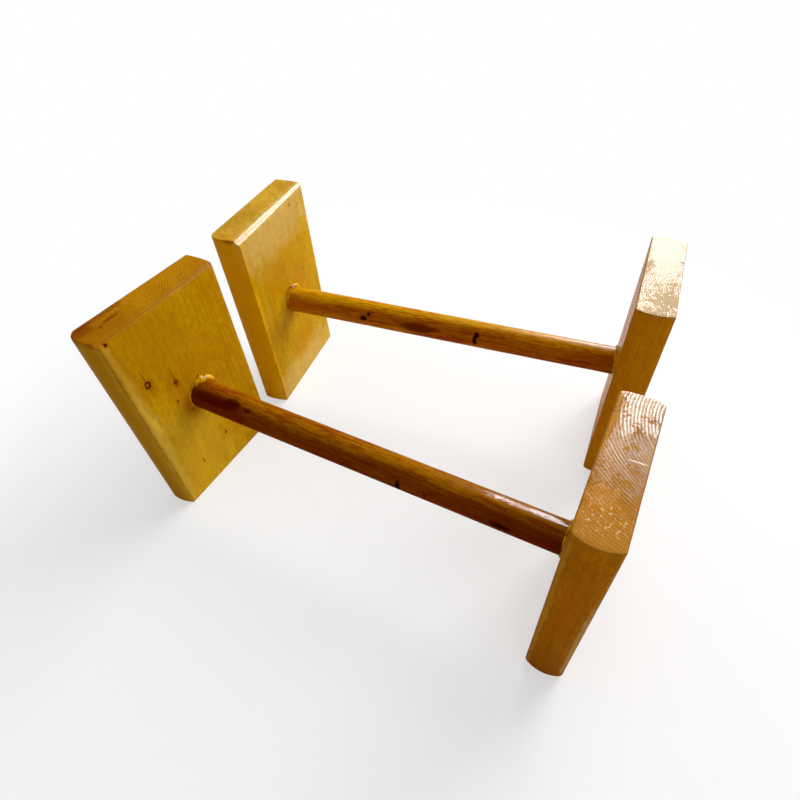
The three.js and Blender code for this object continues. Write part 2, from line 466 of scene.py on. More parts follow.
def zoned(cell: Signal, length: Signal, band: float, edge: int, middle: int) -> Signal:
    """Spreads a row of cells so that they crowd at both ends.

    Args:
        cell: The number of the cell border, from 0.
        length: The length to fill.
        band: The width of the crowded zone at each end.
        edge: How many cells each of those zones holds.
        middle: How many cells lie between them.

    Returns:
        The distance from the row's start.
    """
    first = cell.ramp(0.0, edge, 0.0, band)
    between = cell.ramp(edge, edge + middle, 0.0, length - 2.0 * band)
    last = cell.ramp(edge + middle, 2 * edge + middle, 0.0, band)
    return first + between + last


BOX_SIZES = ("Thickness", "Width", "Height")
SIDE_SIZES = ("Crown", "Chamfer", "Trim", "Thin", "Inner Corner", "Outer Corner")
BOARD_SIZES = (
    *BOX_SIZES, *(f"{label} {end}" for label in SIDE_SIZES for end in ("Low", "High")), *GROWTH_LABELS,
    "Notch Depth", "Ring Relief", "Bar Radius", "Socket Depth", "Axis Height", "Plug Radius", "Plug Depth",
    "Screw Radius",
)  # fmt: skip
SANDING = (Grain((0.07, 0.07, 0.05), 1.0), Grain((0.02, 0.02, 0.012), 0.0))


@dataclass
class BoardRecipe(Recipe):
    """Shapes one upright board in its own frame: X outward from the inner face, Z up.

    Sizes that end in Low and High belong to the narrow sides at negative and at positive Y. A fade is a
    pair: where something is not there yet and where it is full.

    The board starts as a fine box. Its ends are eased, its upright corners rounded, its narrow sides
    crowned and, on some boards, its inner top edge planed off. Then the edges get the unevenness of hand
    sanding, the ends the relief of their growth rings, and the holes for bar, screw and plug are cut.
    """

    end_ease: float = 1.5 * MM
    crown_band: float = 14.0 * MM
    chamfer_blend: float = 1.1 * MM
    chamfer_least: float = 0.5 * MM
    notch_pitch: float = 3.4 * MM
    notch_middle: float = -20.0 * MM
    notch_fade: Fade = (18.0 * MM, 10.0 * MM)
    sanding_depth: float = 0.3 * MM
    sanding_reach: float = 5.0 * MM
    edge_share: float = 1.4
    face_share: float = 0.4
    foot_fade: Fade = (0.5 * MM, 6.0 * MM)
    relief_fade: Fade = (1.0 * MM, 20.0 * MM)
    end_grain_tilt: Fade = (0.66, 0.9)
    relief_tilt: Fade = (0.8, 0.98)
    socket_clearance: float = 0.05 * MM
    plug_clearance: float = 0.08 * MM
    cover_over_screw: float = 1.0 * MM
    overrun: float = 5.0 * MM
    edge_band: float = 4.0 * MM
    edge_cells: int = 7
    thickness_cells: int = 46
    width_cells: int = 230
    height_cells: int = 44
    hole_sides: int = 96
    screw_hole_sides: int = 32

    def __post_init__(self) -> None:
        """Opens the tree, shapes the board and closes the tree."""
        super().__init__("board", BOARD_SIZES)
        mesh = self._chamfered(self._crowned(self._rounded(self._box())))
        self.close(self.bored(self._embossed(self._sanded(mesh)), self._cutters()))

    def _box(self) -> Signal:
        """Lays out the fine box and stores how far each point lies from the nearest edge.

        Returns:
            The mesh.
        """
        graph = self.graph
        middles = (self.thickness_cells, self.width_cells, self.height_cells)
        cells = [middle + 2 * self.edge_cells for middle in middles]
        counts = {f"Vertices {axis}": count + 1 for axis, count in zip("XYZ", cells)}
        cube = graph.add("GeometryNodeMeshCube", {}, {"Size": (1.0, 1.0, 1.0), **counts})
        lengths = [self.given(label) for label in BOX_SIZES]
        places = [
            zoned((part + 0.5) * float(count), length, self.edge_band, self.edge_cells, middle)
            for part, length, count, middle in zip(graph.here().parts, lengths, cells, middles)
        ]
        depths = [place.call("MINIMUM", length - place) for place, length in zip(places, lengths)]
        low, high = depths[0].call("MINIMUM", depths[1]), depths[0].call("MAXIMUM", depths[1])
        mesh = self.kept(cube, "edge_distance", low.call("MAXIMUM", high.call("MINIMUM", depths[2])))
        return self.moved(mesh, Position=graph.point(places[0], places[1] - lengths[1] * 0.5, places[2]))

    def _rounded(self, mesh: Signal) -> Signal:
        """Eases the ends, then rounds the upright corners in plan.

        Args:
            mesh: The box.

        Returns:
            The changed mesh.
        """
        graph = self.graph
        half = graph.point(*(self.given(label) for label in BOX_SIZES)) * 0.5
        centre = graph.point(half.parts[0], 0.0, half.parts[2])
        offset = graph.here() - centre
        sign = graph.add("ShaderNodeVectorMath", {"operation": "SIGN"}, {0: offset})
        size = graph.add("ShaderNodeVectorMath", {"operation": "ABSOLUTE"}, {0: offset})
        inner = (half - self.end_ease).parts
        over = [(part - core).call("MAXIMUM", 0.0) for part, core in zip(size.parts, inner)]
        side = over[0].call("MAXIMUM", over[1])
        shrink = side.call("MAXIMUM", over[2]) / (side.hypot(over[2]) + TINY)
        trio = zip(size.parts, inner, over)
        keep = [part.call("MINIMUM", core) + more * shrink for part, core, more in trio]
        radius = self._corner_radius(offset)
        inner = (half - graph.point(radius, radius, radius)).parts
        over = [(keep[axis] - inner[axis]).call("MAXIMUM", 0.0) for axis in (0, 1)]
        shrink = over[0].call("MAXIMUM", over[1]) / (over[0].hypot(over[1]) + TINY)
        plan = [keep[axis].call("MINIMUM", inner[axis]) + over[axis] * shrink for axis in (0, 1)]
        return self.moved(mesh, Position=graph.point(plan[0], plan[1], keep[2]) * sign + centre)

    def _corner_radius(self, offset: Signal) -> Signal:
        """Picks the radius of the upright corner that a point belongs to.

        Args:
            offset: The point, measured from the board's centre.

        Returns:
            The radius.
        """
        outer, high = (offset.parts[axis].call("GREATER_THAN", 0.0) for axis in (0, 1))
        inward, outward = (
            self.given(f"{face} Corner Low") * (1.0 - high) + self.given(f"{face} Corner High") * high
            for face in ("Inner", "Outer")
        )
        return inward * (1.0 - outer) + outward * outer

    def _crowned(self, mesh: Signal) -> Signal:
        """Bows the narrow sides by drawing their corners in, and thins the board towards one of them.

        Args:
            mesh: The rounded board.

        Returns:
            The changed mesh.
        """
        graph = self.graph
        x, y, z = graph.here().parts
        half_width, half_thickness = self.given("Width") * 0.5, self.given("Thickness") * 0.5
        across = (x - half_thickness) / half_thickness
        bow = across * across
        inset: Operand = 0.0
        for end, sign in (("High", -1.0), ("Low", 1.0)):
            near_side = (y * -sign).fade(half_width - self.crown_band, half_width)
            inset = near_side * (self.given(f"Crown {end}") * bow + self.given(f"Trim {end}")) * sign + inset
        thin = y.ramp(half_width * -1.0, half_width, self.given("Thin Low"), self.given("Thin High"))
        x = x - thin * x.ramp(0.0, half_thickness * 2.0)
        return self.moved(mesh, Position=graph.point(x, y + inset, z))

    def _chamfered(self, mesh: Signal) -> Signal:
        """Planes off the inner top edge, wider towards one end of it, with small torn notches.

        Args:
            mesh: The crowned board.

        Returns:
            The changed mesh.
        """
        graph = self.graph
        x, y, z = graph.here().parts
        half_width = self.given("Width") * 0.5
        legs = (self.given("Chamfer Low"), self.given("Chamfer High"))
        notches = (y * (math.tau / self.notch_pitch)).call("SINE") * 0.5 + 0.5
        torn = (y - self.notch_middle).call("ABSOLUTE").fade(*self.notch_fade)
        leg = y.ramp(half_width * -1.0, half_width, *legs)
        leg = leg - notches * torn * self.given("Notch Depth")
        reach = (leg - x - (self.given("Height") - z)).call("SMOOTH_MAX", 0.0, self.chamfer_blend)
        half_reach = reach * leg.fade(0.0, self.chamfer_least) * 0.5
        return self.moved(mesh, Offset=graph.point(half_reach, 0.0, half_reach * -1.0))

    def _sanded(self, mesh: Signal) -> Signal:
        """Rubs the edges and faces down a little, unevenly, but not where the board stands.

        Args:
            mesh: The board with its chamfer.

        Returns:
            The changed mesh.
        """
        graph = self.graph
        here = graph.here()
        edge = graph.add("GeometryNodeInputNamedAttribute", {}, {"Name": "edge_distance"})
        near_edge = 1.0 - edge.fade(0.0, self.sanding_reach)
        lumps, swells = ((here * (1.0 / MM)).noise(grain, self.given("seed")) for grain in SANDING)
        depth = (near_edge * lumps * self.edge_share + swells * self.face_share) * self.sanding_depth
        above_foot = here.parts[2].fade(*self.foot_fade)
        return self.moved(mesh, Offset=graph.add("GeometryNodeInputNormal") * (depth * above_foot * -1.0))

    def _embossed(self, mesh: Signal) -> Signal:
        """Sinks the soft part of each ring on the upper end, and stores what is end grain.

        Args:
            mesh: The sanded board.

        Returns:
            The changed mesh.
        """
        graph = self.graph
        upright = graph.add("GeometryNodeInputNormal").parts[2].call("ABSOLUTE")
        mesh = self.kept(mesh, "end_grain", upright.fade(*self.end_grain_tilt))
        here = graph.here()
        rings = ring_number(here * (1.0 / MM), {label: self.given(label) for label in GROWTH_LABELS})
        flat = upright.fade(*self.relief_tilt) * here.parts[2].fade(*self.relief_fade)
        drop = (1.0 - latewood(rings)) * flat * self.given("Ring Relief")
        return self.moved(mesh, Offset=graph.point(0.0, 0.0, drop * -1.0))

    def _cutters(self) -> list[Signal]:
        """Makes what cuts the bar's socket, the plug's recess and the screw's hole.

        Returns:
            The three cutters.
        """
        height, thickness = self.given("Axis Height"), self.given("Thickness")
        socket, recess = self.given("Socket Depth"), thickness - self.given("Plug Depth")
        cover = thickness - self.cover_over_screw
        bar = self.given("Bar Radius") + self.socket_clearance
        plug = self.given("Plug Radius") + self.plug_clearance
        screw = self.given("Screw Radius")
        return [
            self.drill(-self.overrun, socket, bar, height, self.hole_sides),
            self.drill(recess, thickness + self.overrun, plug, height, self.hole_sides),
            self.drill(socket - self.overrun, cover, screw, height, self.screw_hole_sides),
        ]


BAR_SIZES = ("Length", "Bar Radius", "Bore Radius", "Bore Depth", "seed")
LATHE_LUMPS = Grain((0.02, 0.11, 0.11), 2.0)


@dataclass
class BarRecipe(Recipe):
    """Shapes a round bar along X: chamfered ends, a not quite even surface, a bore in each end."""

    sides: int = 96
    segments: int = 190
    bore_sides: int = 24
    end_chamfer: float = 1.0 * MM
    unevenness: float = 0.16 * MM
    low_spots: Fade = (0.3, 0.75)
    overrun: float = 1.0 * MM

    def __post_init__(self) -> None:
        """Opens the tree, shapes the bar and closes the tree."""
        super().__init__("bar", BAR_SIZES)
        graph = self.graph
        length, radius, bore, depth, seed = (self.given(label) for label in BAR_SIZES)
        counts = {"Vertices": self.sides, "Side Segments": self.segments}
        rod = graph.add("GeometryNodeMeshCylinder", {}, {**counts, "Radius": radius, "Depth": length})
        here = graph.here()
        x, y, z = here.parts
        half = length * 0.5
        ease = (half - x.call("ABSOLUTE")).ramp(0.0, self.end_chamfer, self.end_chamfer, 0.0)
        lumps = (here * (1.0 / MM)).noise(LATHE_LUMPS, seed)
        scale = 1.0 - (ease + lumps.fade(*self.low_spots) * self.unevenness) / radius
        rod = self.moved(self.placed(rod, ALONG_X), Position=graph.point(x, y * scale, z * scale))
        bores = [
            self.drill(half - depth, half + self.overrun, bore, 0.0, self.bore_sides),
            self.drill(half * -1.0 - self.overrun, depth - half, bore, 0.0, self.bore_sides),
        ]
        self.close(self.bored(rod, bores))


BEAD_SIZES = (
    "Bar Radius", "Along Bar", "Over Board", "Skew", "Axis Height", "seed", "Lobe Angle", "Lobe Size",
)  # fmt: skip
BEAD_LUMPS = Grain((2.6, 2.6, 1.0), 2.0)


@dataclass
class BeadRecipe(Recipe):
    """Shapes the bead of glue and varnish round the bar, flattened against bar and board."""

    around: int = 160
    across: int = 20
    profile: float = 0.1
    swelling: float = 0.75
    unevenness: float = 0.45
    low_spots: Fade = (0.35, 0.7)
    lobe_fade: Fade = (0.3, 0.95)
    lobe_least: float = 0.6
    bite: float = 0.02 * MM

    def __post_init__(self) -> None:
        """Opens the tree, shapes the bead and closes the tree."""
        super().__init__("bead", BEAD_SIZES)
        graph = self.graph
        given = [self.given(label) for label in BEAD_SIZES]
        bar, along, over, skew, height, seed, lobe_angle, lobe_size = given
        circle = "GeometryNodeCurvePrimitiveCircle"
        ring = graph.add(circle, {}, {"Resolution": self.around, "Radius": 1.0})
        profile = graph.add(circle, {}, {"Resolution": self.across, "Radius": self.profile})
        mesh = graph.add("GeometryNodeCurveToMesh", {}, {"Curve": ring, "Profile Curve": profile})
        x, y, z = graph.here().parts
        reach = x.hypot(y)
        up, side = x / reach, y / reach
        lumps = graph.point(up, side, 0.0).noise(BEAD_LUMPS, seed)
        towards = up * lobe_angle.call("COSINE") + side * lobe_angle.call("SINE")
        lobe = towards.fade(*self.lobe_fade) * lobe_size * (self.lobe_least + lumps)
        swell = 1.0 - lumps.fade(*self.low_spots) * self.unevenness + lobe
        gain, rest = self.swelling / self.profile, 1.0 - self.swelling
        outward, forward = (
            (part * gain + rest).call("MAXIMUM", 0.0) * size * swell
            for part, size in ((reach - 1.0, over), (z, along))
        )
        radius = bar + self.bite + outward
        leaning = forward * -1.0 + side * radius * skew - self.bite
        place = graph.point(leaning, side * radius, up * radius + height)
        self.close(self.moved(mesh, Position=place))


@dataclass
class PlugRecipe(Recipe):
    """Shapes a wood plug along X, its outer face trimmed flush and its rim eased."""

    sides: int = 64
    segments: int = 8
    rings: int = 6
    rim: float = 0.35 * MM
    outer_part: Fade = (0.3, 0.5)
    sunk: float = 0.06 * MM

    def __post_init__(self) -> None:
        """Opens the tree, shapes the plug and closes the tree."""
        labels = ("Plug Radius", "Plug Depth", "Thickness", "Axis Height")
        super().__init__("plug", labels)
        graph = self.graph
        radius, depth, thickness, height = (self.given(label) for label in labels)
        inputs = {"Vertices": self.sides, "Side Segments": self.segments, "Fill Segments": self.rings}
        inputs.update({"Radius": radius, "Depth": depth})
        disc = graph.add("GeometryNodeMeshCylinder", {"fill_type": "TRIANGLE_FAN"}, inputs)
        x, y, z = graph.here().parts
        ease = x.hypot(y).fade(radius - self.rim * 2.0, radius) * self.rim
        outer = (z / depth).fade(*self.outer_part)
        disc = self.moved(disc, Offset=graph.point(0.0, 0.0, ease * outer * -1.0 - self.sunk))
        self.close(self.placed(disc, ALONG_X, graph.point(thickness - depth * 0.5, 0.0, height)))


TOP = 230.0
# Painted glare: a whitish colour standing in for varnish that catches the window's light.
PAINTED_GLARE: Colour = (0.80, 0.58, 0.32)
ORANGE: Colour = (0.46, 0.17, 0.001)
AMBER: Colour = (0.46, 0.19, 0.001)
TAN: Colour = (0.40, 0.24, 0.06)
DULL_TAN: Colour = (0.38, 0.24, 0.06)
RUSSET: Colour = (0.16, 0.02, 0.0008)
# Painted haze: the pale reflection of the floor in the varnish, and painted light.
PAINTED_HAZE: Colour = (0.78, 0.50, 0.03)
# Painted reflection: the whitish haze of the pale floor mirrored in varnish.
PAINTED_FLOOR_HAZE: Colour = (0.60, 0.42, 0.14)
KNOT_HEART: Colour = (0.22, 0.05, 0.0008)
KNOT_RIM: Colour = (0.075, 0.008, 0.0005)
BURNT: Colour = (0.05, 0.002, 0.0003)
SCORCHED: Colour = (0.02, 0.001, 0.0003)

FIBRE = Grain((0.9, 0.9, 0.02))
BAND = Grain((0.36, 0.36, 0.007), 2.0, 11.0)
MOTTLE = Grain((0.26, 0.26, 0.13), 4.0, 17.0)
PORES = Grain((1.1, 1.1, 1.1))
BLOTCH = Grain((0.03, 0.03, 0.016), 3.0, 3.0)
FLECKS = Grain((0.4, 0.4, 0.3), 3.0, 13.0)
BRUSHED = Grain((0.14, 0.14, 0.03), 3.0, 7.0)
RAGGED = Grain((0.12, 0.12, 0.06), 5.0, 5.0)
KNOT_WOBBLE = Grain((0.4, 0.4, 0.3))


@dataclass(frozen=True)
class Figure:
    """How rings, fibres, pores and wear show on pine, the same on every board.

    A fade is a pair: where something is not there yet and where it is full. A span is a range and what
    its two ends turn into. Reliefs are millimetres.
    """

    ring_onset: float = 0.5
    ring_least: float = 0.4
    calm_core: float = 0.6
    calm_least: float = 0.15
    blotch_fade: Fade = (0.42, 0.68)
    blotch_strength: float = 0.35
    band_fade: Fade = (0.46, 0.64)
    band_strength: float = 0.06
    band_outside_calm: float = 0.2
    fibre_fade: Fade = (0.4, 0.62)
    fibre_strength: float = 0.3
    mottle_fade: Fade = (0.42, 0.6)
    mottle_strength: float = 0.35
    ridge_least: float = 0.3
    ridge_by_mottle: Span = (0.3, 0.6, 0.3, 1.0)
    ridge_strength: float = 0.75
    end_pore_fade: Fade = (0.42, 0.6)
    end_pore_strength: float = 0.5
    end_blotch_fade: Fade = (0.4, 0.66)
    end_blotch_strength: float = 0.4
    coat_ridge_fade: Fade = (0.05, 0.34)
    coat_by_pores: Span = (0.42, 0.52, 0.35, 1.0)
    wear_by_mottle: Span = (0.35, 0.6, 0.25, 0.8)
    heart_strength: float = 0.9
    ridge_relief: float = 0.015
    end_ridge_relief: float = 0.055
    fibre_relief: float = 0.05
    pore_relief: float = 0.05
    brushed_relief: float = 0.12
    mottle_relief: float = 0.08
    rim_relief: float = 0.15
    rough_range: Fade = (0.3, 0.7)
    rough_spread: float = 0.08
    ridge_roughness: float = 0.06
    worn_roughness: float = 0.4
    fleck_fade: Fade = (0.56, 0.62)
    patch_rim: float = 0.85
    grainy_rim: Fade = (3.0, 0.18)
    soft_rim: Fade = (1.5, 0.4)


@dataclass(frozen=True)
class KnotShape:
    """How every knot is drawn.

    The fades of its pull, disc, ring and halo are shares of its radius, and its pull is in rings for each
    millimetre of that. The fades of a tail are millimetres.
    """

    height_share: float = 0.8
    wobble: float = 1.3
    pull_fade: Fade = (0.6, 6.0)
    pull: float = 0.28
    disc_fade: Fade = (0.8, 1.15)
    ringed_heart: float = 0.6
    ringed_fade: Fade = (0.3, 0.62)
    halo_fade: Fade = (0.9, 2.4)
    halo: float = 0.5
    tail_start: Fade = (0.0, 2.0)
    tail_share: float = 0.3
    tail_lean: float = 0.03
    tail_wobble: float = 1.2
    tail_width: Fade = (0.2, 1.1)
    tail_strength: float = 0.9


FIGURE = Figure()
KNOT_SHAPE = KnotShape()


@dataclass(frozen=True)
class Knot:
    """A small knot in a board's inner face.

    Its place is millimetres across to the far side and up. Some show a dark ring round a lighter heart,
    and some trail a dark line of torn grain upward.
    """

    across: float
    height: float
    radius: float
    ring: bool = False
    tail: float = 0.0


@dataclass(frozen=True)
class StainOrPaintedLight:
    """A patch of another colour, with its middle and half sizes outward, to the far side and up. Some
    are the wood's own blotches and marks; others are painted light: painted haze, sheen, glare or shade.

    Flecks are painted glints, light specks in it. With grain its rim breaks up into specks, or else it
    is soft. Gloss is the weight of the clear coat that lies there, where it isn't the board's own.
    """

    middle: tuple[float, float, float]
    reach: tuple[float, float, float]
    colour: Colour
    strength: float
    dullness: float = 0.0
    flecks: float = 0.0
    grain: float = 0.0
    gloss: float | None = None


@dataclass(frozen=True)
class Pine:
    """The finish of one varnished pine board, with the place that it was sawn from.

    Rings show less within calm_reach of calm_middle, both in millimetres across the board. valley_coat is
    how much of the clear coat is left between the ridges of the rings.
    """

    name: str
    growth: Growth
    light: Colour
    dark: Colour
    end_light: Colour
    end_dark: Colour
    end_ridge: Colour
    ring_strength: float = 0.35
    calm_middle: float = 0.0
    calm_reach: float = 40.0
    roughness: float = 0.2
    end_roughness: float = 0.26
    sheen: float = SHEEN
    end_coat: float = 0.0
    valley_coat: float = 0.25
    edge_wear: float = 1.5 * MM
    knot_depth: Fade = (5.0, 14.0)
    knots: tuple[Knot, ...] = ()
    stains_and_painted_light: tuple[StainOrPaintedLight, ...] = ()

    def material(self, place: Vector, turn: float, far_sign: float) -> bpy.types.Material:
        """Makes the material for a board that stands at a place.

        Args:
            place: The board's own origin.
            turn: The turn of its own frame about Z.
            far_sign: 1 where its own Y points to the far side, or -1.

        Returns:
            The material.
        """
        material, graph, shader = new_material(self.name)
        local = own_frame(graph, place, turn)
        point = graph.point(local.parts[0], local.parts[1] * far_sign, local.parts[2])
        pull, heart, rim = self._knots(point)
        number = ring_number(local, self.growth.values(far_sign)) + pull
        ring = {"W": number.call("FLOOR")}
        tint = graph.add("ShaderNodeTexWhiteNoise", {"noise_dimensions": "1D"}, ring, "Value")
        ends, edge = (
            graph.add("ShaderNodeAttribute", {"attribute_name": name}, {}, "Fac")
            for name in ("end_grain", "edge_distance")
        )
        fibre, band, mottle, pores, blotch, brushed = (
            local.noise(grain, self.growth.seed)
            for grain in (FIBRE, BAND, MOTTLE, PORES, BLOTCH, BRUSHED)
        )
        aside = (point.parts[1] - self.calm_middle).call("ABSOLUTE")
        calm = aside.fade(self.calm_reach * FIGURE.calm_core, self.calm_reach)
        depth = latewood(number, FIGURE.ring_onset) * tint.above(FIGURE.ring_least)
        depth = depth * calm.above(FIGURE.calm_least) * self.ring_strength
        face = graph.blend(depth, self.light, self.dark)
        band_strength = calm * FIGURE.band_outside_calm + FIGURE.band_strength
        layers = (
            (blotch, FIGURE.blotch_fade, FIGURE.blotch_strength),
            (band, FIGURE.band_fade, band_strength),
            (fibre, FIGURE.fibre_fade, FIGURE.fibre_strength),
            (mottle, FIGURE.mottle_fade, FIGURE.mottle_strength),
        )
        for layer, fade, strength in layers:
            face = graph.blend(layer.fade(*fade) * strength, face, self.dark)
        ridge = latewood(number) * tint.above(FIGURE.ridge_least) * mottle.ramp(*FIGURE.ridge_by_mottle)
        end = graph.blend(ridge * FIGURE.ridge_strength, self.end_light, self.end_ridge)
        end_layers = (
            (pores, FIGURE.end_pore_fade, FIGURE.end_pore_strength),
            (blotch, FIGURE.end_blotch_fade, FIGURE.end_blotch_strength),
        )
        for layer, fade, strength in end_layers:
            end = graph.blend(layer.fade(*fade) * strength, end, self.end_dark)
        plain = graph.blend(ends, face, end)
        colour, dullness, coat = self._stained(local, point, plain, ends * self.end_coat)
        coat = coat * ridge.ramp(*FIGURE.coat_ridge_fade, self.valley_coat, 1.0)
        coat = coat * pores.ramp(*FIGURE.coat_by_pores)
        worn = (1.0 - edge.fade(0.0, self.edge_wear)) * mottle.ramp(*FIGURE.wear_by_mottle)
        colour = graph.blend(worn, colour, self.end_dark)
        colour = graph.blend(heart * FIGURE.heart_strength, colour, KNOT_HEART)
        colour = graph.blend(rim, colour, KNOT_RIM)
        height = ridge * (FIGURE.ridge_relief + ends * FIGURE.end_ridge_relief)
        height = height + fibre * (FIGURE.fibre_relief * (1.0 - ends))
        height = height + pores * (ends * FIGURE.pore_relief) + brushed * FIGURE.brushed_relief
        height = height + mottle * FIGURE.mottle_relief - rim * FIGURE.rim_relief
        roughest = self.roughness + FIGURE.rough_spread
        rough = blotch.ramp(*FIGURE.rough_range, self.roughness, roughest)
        rougher_end = self.end_roughness - self.roughness
        rougher = ridge * FIGURE.ridge_roughness + rougher_end + worn * FIGURE.worn_roughness
        rough = rough + ends * rougher + dullness
        finish(shader, colour, rough, height, sheen=self.sheen, coat=coat)
        return material

    def _knots(self, point: Signal) -> tuple[Signal, Signal, Signal]:
        """Works out how knots bend the rings, and where their hearts and rims lie.

        Args:
            point: The distance outward, to the far side and up.

        Returns:
            The change in ring number, and the masks of hearts and of dark rims.
        """
        shape = KNOT_SHAPE
        outward, across, up = point.parts
        pull = heart = rim = outward * 0.0
        shallow = 1.0 - outward.fade(*self.knot_depth)
        wobble = point.noise(KNOT_WOBBLE, self.growth.seed) - 0.5
        for knot in self.knots:
            aside, above = across - knot.across, up - knot.height
            reach = aside.hypot(above * shape.height_share) / knot.radius + wobble * shape.wobble
            pull = pull + (1.0 - reach.fade(*shape.pull_fade)) * (shape.pull * knot.radius)
            disc = 1.0 - reach.fade(*shape.disc_fade)
            if knot.ring:
                heart = heart.call("MAXIMUM", disc * shape.ringed_heart)
                disc = disc * reach.fade(*shape.ringed_fade)
            rim = rim.call("MAXIMUM", disc)
            heart = heart.call("MAXIMUM", (1.0 - reach.fade(*shape.halo_fade)) * shape.halo)
            if knot.tail:
                ending = 1.0 - above.fade(knot.tail * shape.tail_share, knot.tail)
                along = above.fade(*shape.tail_start) * ending
                drift = (aside + above * shape.tail_lean + wobble * shape.tail_wobble).call("ABSOLUTE")
                tail = along * (1.0 - drift.fade(*shape.tail_width)) * shape.tail_strength
                heart = heart.call("MAXIMUM", tail)
        return pull * shallow, heart * shallow, rim * shallow

    def _stained(
        self, local: Signal, point: Signal, colour: Signal, coat: Signal
    ) -> tuple[Signal, Operand, Signal]:
        """Lays the patches, the wood's own and those of painted light, over a colour.

        Args:
            local: The point in the board's own frame.
            point: The distance outward, to the far side and up.
            colour: The colour below.
            coat: The clear coat's own weight.

        Returns:
            The colour with its patches and painted light, what they add to the roughness, and the clear
            coat's weight.
        """
        flecks = local.noise(FLECKS, self.growth.seed)
        ragged = local.noise(RAGGED, self.growth.seed) - 0.5
        dullness: Operand = 0.0
        graph = colour.graph
        for patch in self.stains_and_painted_light:
            offset = (point - patch.middle) / patch.reach
            size = graph.add("ShaderNodeVectorMath", {"operation": "LENGTH"}, {0: offset}, "Value")
            raggedness, soft = FIGURE.grainy_rim if patch.grain else FIGURE.soft_rim
            size = size + ragged * raggedness
            if patch.grain:
                size = size + (flecks - 0.5) * patch.grain
            mask = 1.0 - size.fade(FIGURE.patch_rim - soft, FIGURE.patch_rim + soft)
            colour = graph.blend(mask * patch.strength, colour, patch.colour)
            # Flecks: painted glints of glare inside the patch.
            if patch.flecks:
                colour = graph.blend(mask * flecks.fade(*FIGURE.fleck_fade) * patch.flecks, colour, PAINTED_GLARE)
            if patch.dullness:
                dullness = mask * patch.dullness + dullness
            if patch.gloss is not None:
                coat = coat * (1.0 - mask) + mask * patch.gloss
        return colour, dullness, coat


STREAKS = Grain((0.018, 0.34, 0.34), 5.0)
FINE_STREAKS = Grain((0.1, 0.8, 0.8), 4.0, 2.0)
CLOUDS = Grain((0.02, 0.08, 0.08), 2.0, 5.0)
DROPS = Grain((0.4, 0.7, 0.7), 3.0, 4.0)
BRUSHED_BAR = Grain((0.05, 0.3, 0.3), 3.0, 9.0)


@dataclass(frozen=True)
class Mark:
    """A dark mark on a bar: millimetres along it, degrees round it from the top, and its half sizes."""

    along: float
    around: float
    half_length: float
    half_width: float
    strength: float = 1.0
    colour: Colour = SCORCHED


@dataclass(frozen=True)
class StainedWood:
    """The finish of a stained and varnished bar, darker below and, by deep_left, at its left end. Its golden
    top is partly painted haze and its dark underside partly painted shade, over its own tone.

    The clear coat shows in drops along a strip at the crest of its right end. Places along the bar are
    millimetres from its middle, and those round it degrees from the top towards the front.
    """

    name: str
    seed: float
    golden: Colour
    brown: Colour
    deep: Colour
    marks: tuple[Mark, ...]
    deep_left: float
    sheen: float
    gleam: float
    left_zone: Fade = (-185.0, -105.0)
    right_zone: Fade = (150.0, 190.0)
    gleam_zone: Fade = (112.0, 130.0)
    underside: float = 62.0
    underside_shade: float = 0.8
    streak_depth: float = 2.2
    fine_depth: float = 1.2
    cloud_depth: float = 1.2
    brown_fade: Fade = (-0.1, 0.5)
    deep_fade: Fade = (0.45, 1.2)
    deep_strength: float = 0.85
    vein_fade: Fade = (0.46, 0.6)
    vein_strength: float = 0.4
    mark_fade: Fade = (0.6, 1.2)
    mark_raggedness: float = 1.4
    crest: float = -20.0
    crest_fade: Fade = (10.0, 20.0)
    drop_fade: Fade = (0.46, 0.5)
    drops_at_right: float = 0.08
    roughness: Span = (0.3, 0.7, 0.2, 0.3)
    coat_roughness: float = 0.05
    fine_relief: float = 0.16
    brushed_relief: float = 0.25
    mark_relief: float = 0.1

    def material(self, place: Vector, turn: float, radius: float) -> bpy.types.Material:
        """Makes the material for a bar that lies at a place.

        Args:
            place: The bar's centre.
            turn: Its turn about Z.
            radius: Its radius in metres.

        Returns:
            The material.
        """
        material, graph, shader = new_material(self.name)
        local = own_frame(graph, place, turn)
        x, y, z = local.parts
        angle = y.call("ARCTAN2", z) * (-180.0 / math.pi)
        streaks, fine, clouds, drops, brushed = (
            local.noise(grain, self.seed)
            for grain in (STREAKS, FINE_STREAKS, CLOUDS, DROPS, BRUSHED_BAR)
        )
        left = (1.0 - x.fade(*self.left_zone)) * self.deep_left
        # Painted shade: darker round the underside, beside the random streaks and clouds of its own tone.
        darker = angle.fade(0.0, self.underside) * self.underside_shade
        for noise, depth in (
            (streaks, self.streak_depth), (fine, self.fine_depth), (clouds, self.cloud_depth)
        ):  # fmt: skip
            darker = darker + (noise - 0.5) * depth
        darker = darker + left
        colour = graph.blend(darker.fade(*self.brown_fade), self.golden, self.brown)
        colour = graph.blend(darker.fade(*self.deep_fade) * self.deep_strength, colour, self.deep)
        colour = graph.blend(fine.fade(*self.vein_fade) * self.vein_strength, colour, self.deep)
        spots: Operand = 0.0
        for mark in self.marks:
            along = (x - mark.along) / mark.half_length
            around = (angle - mark.around) / math.degrees(mark.half_width * MM / radius)
            reach = along.hypot(around) + (fine + streaks - 1.0) * self.mark_raggedness
            spot = (1.0 - reach.fade(*self.mark_fade)) * mark.strength
            colour = graph.blend(spot, colour, mark.colour)
            spots = spot + spots
        drops = drops + x.fade(*self.right_zone) * self.drops_at_right
        strip = 1.0 - (angle - self.crest).call("ABSOLUTE").fade(*self.crest_fade)
        coat = drops.fade(*self.drop_fade) * x.fade(*self.gleam_zone) * strip * self.gleam
        rough = clouds.ramp(*self.roughness)
        height = fine * self.fine_relief + brushed * self.brushed_relief - spots * self.mark_relief
        finish(shader, colour, rough, height, 0.0, self.sheen, coat, self.coat_roughness)
        return material


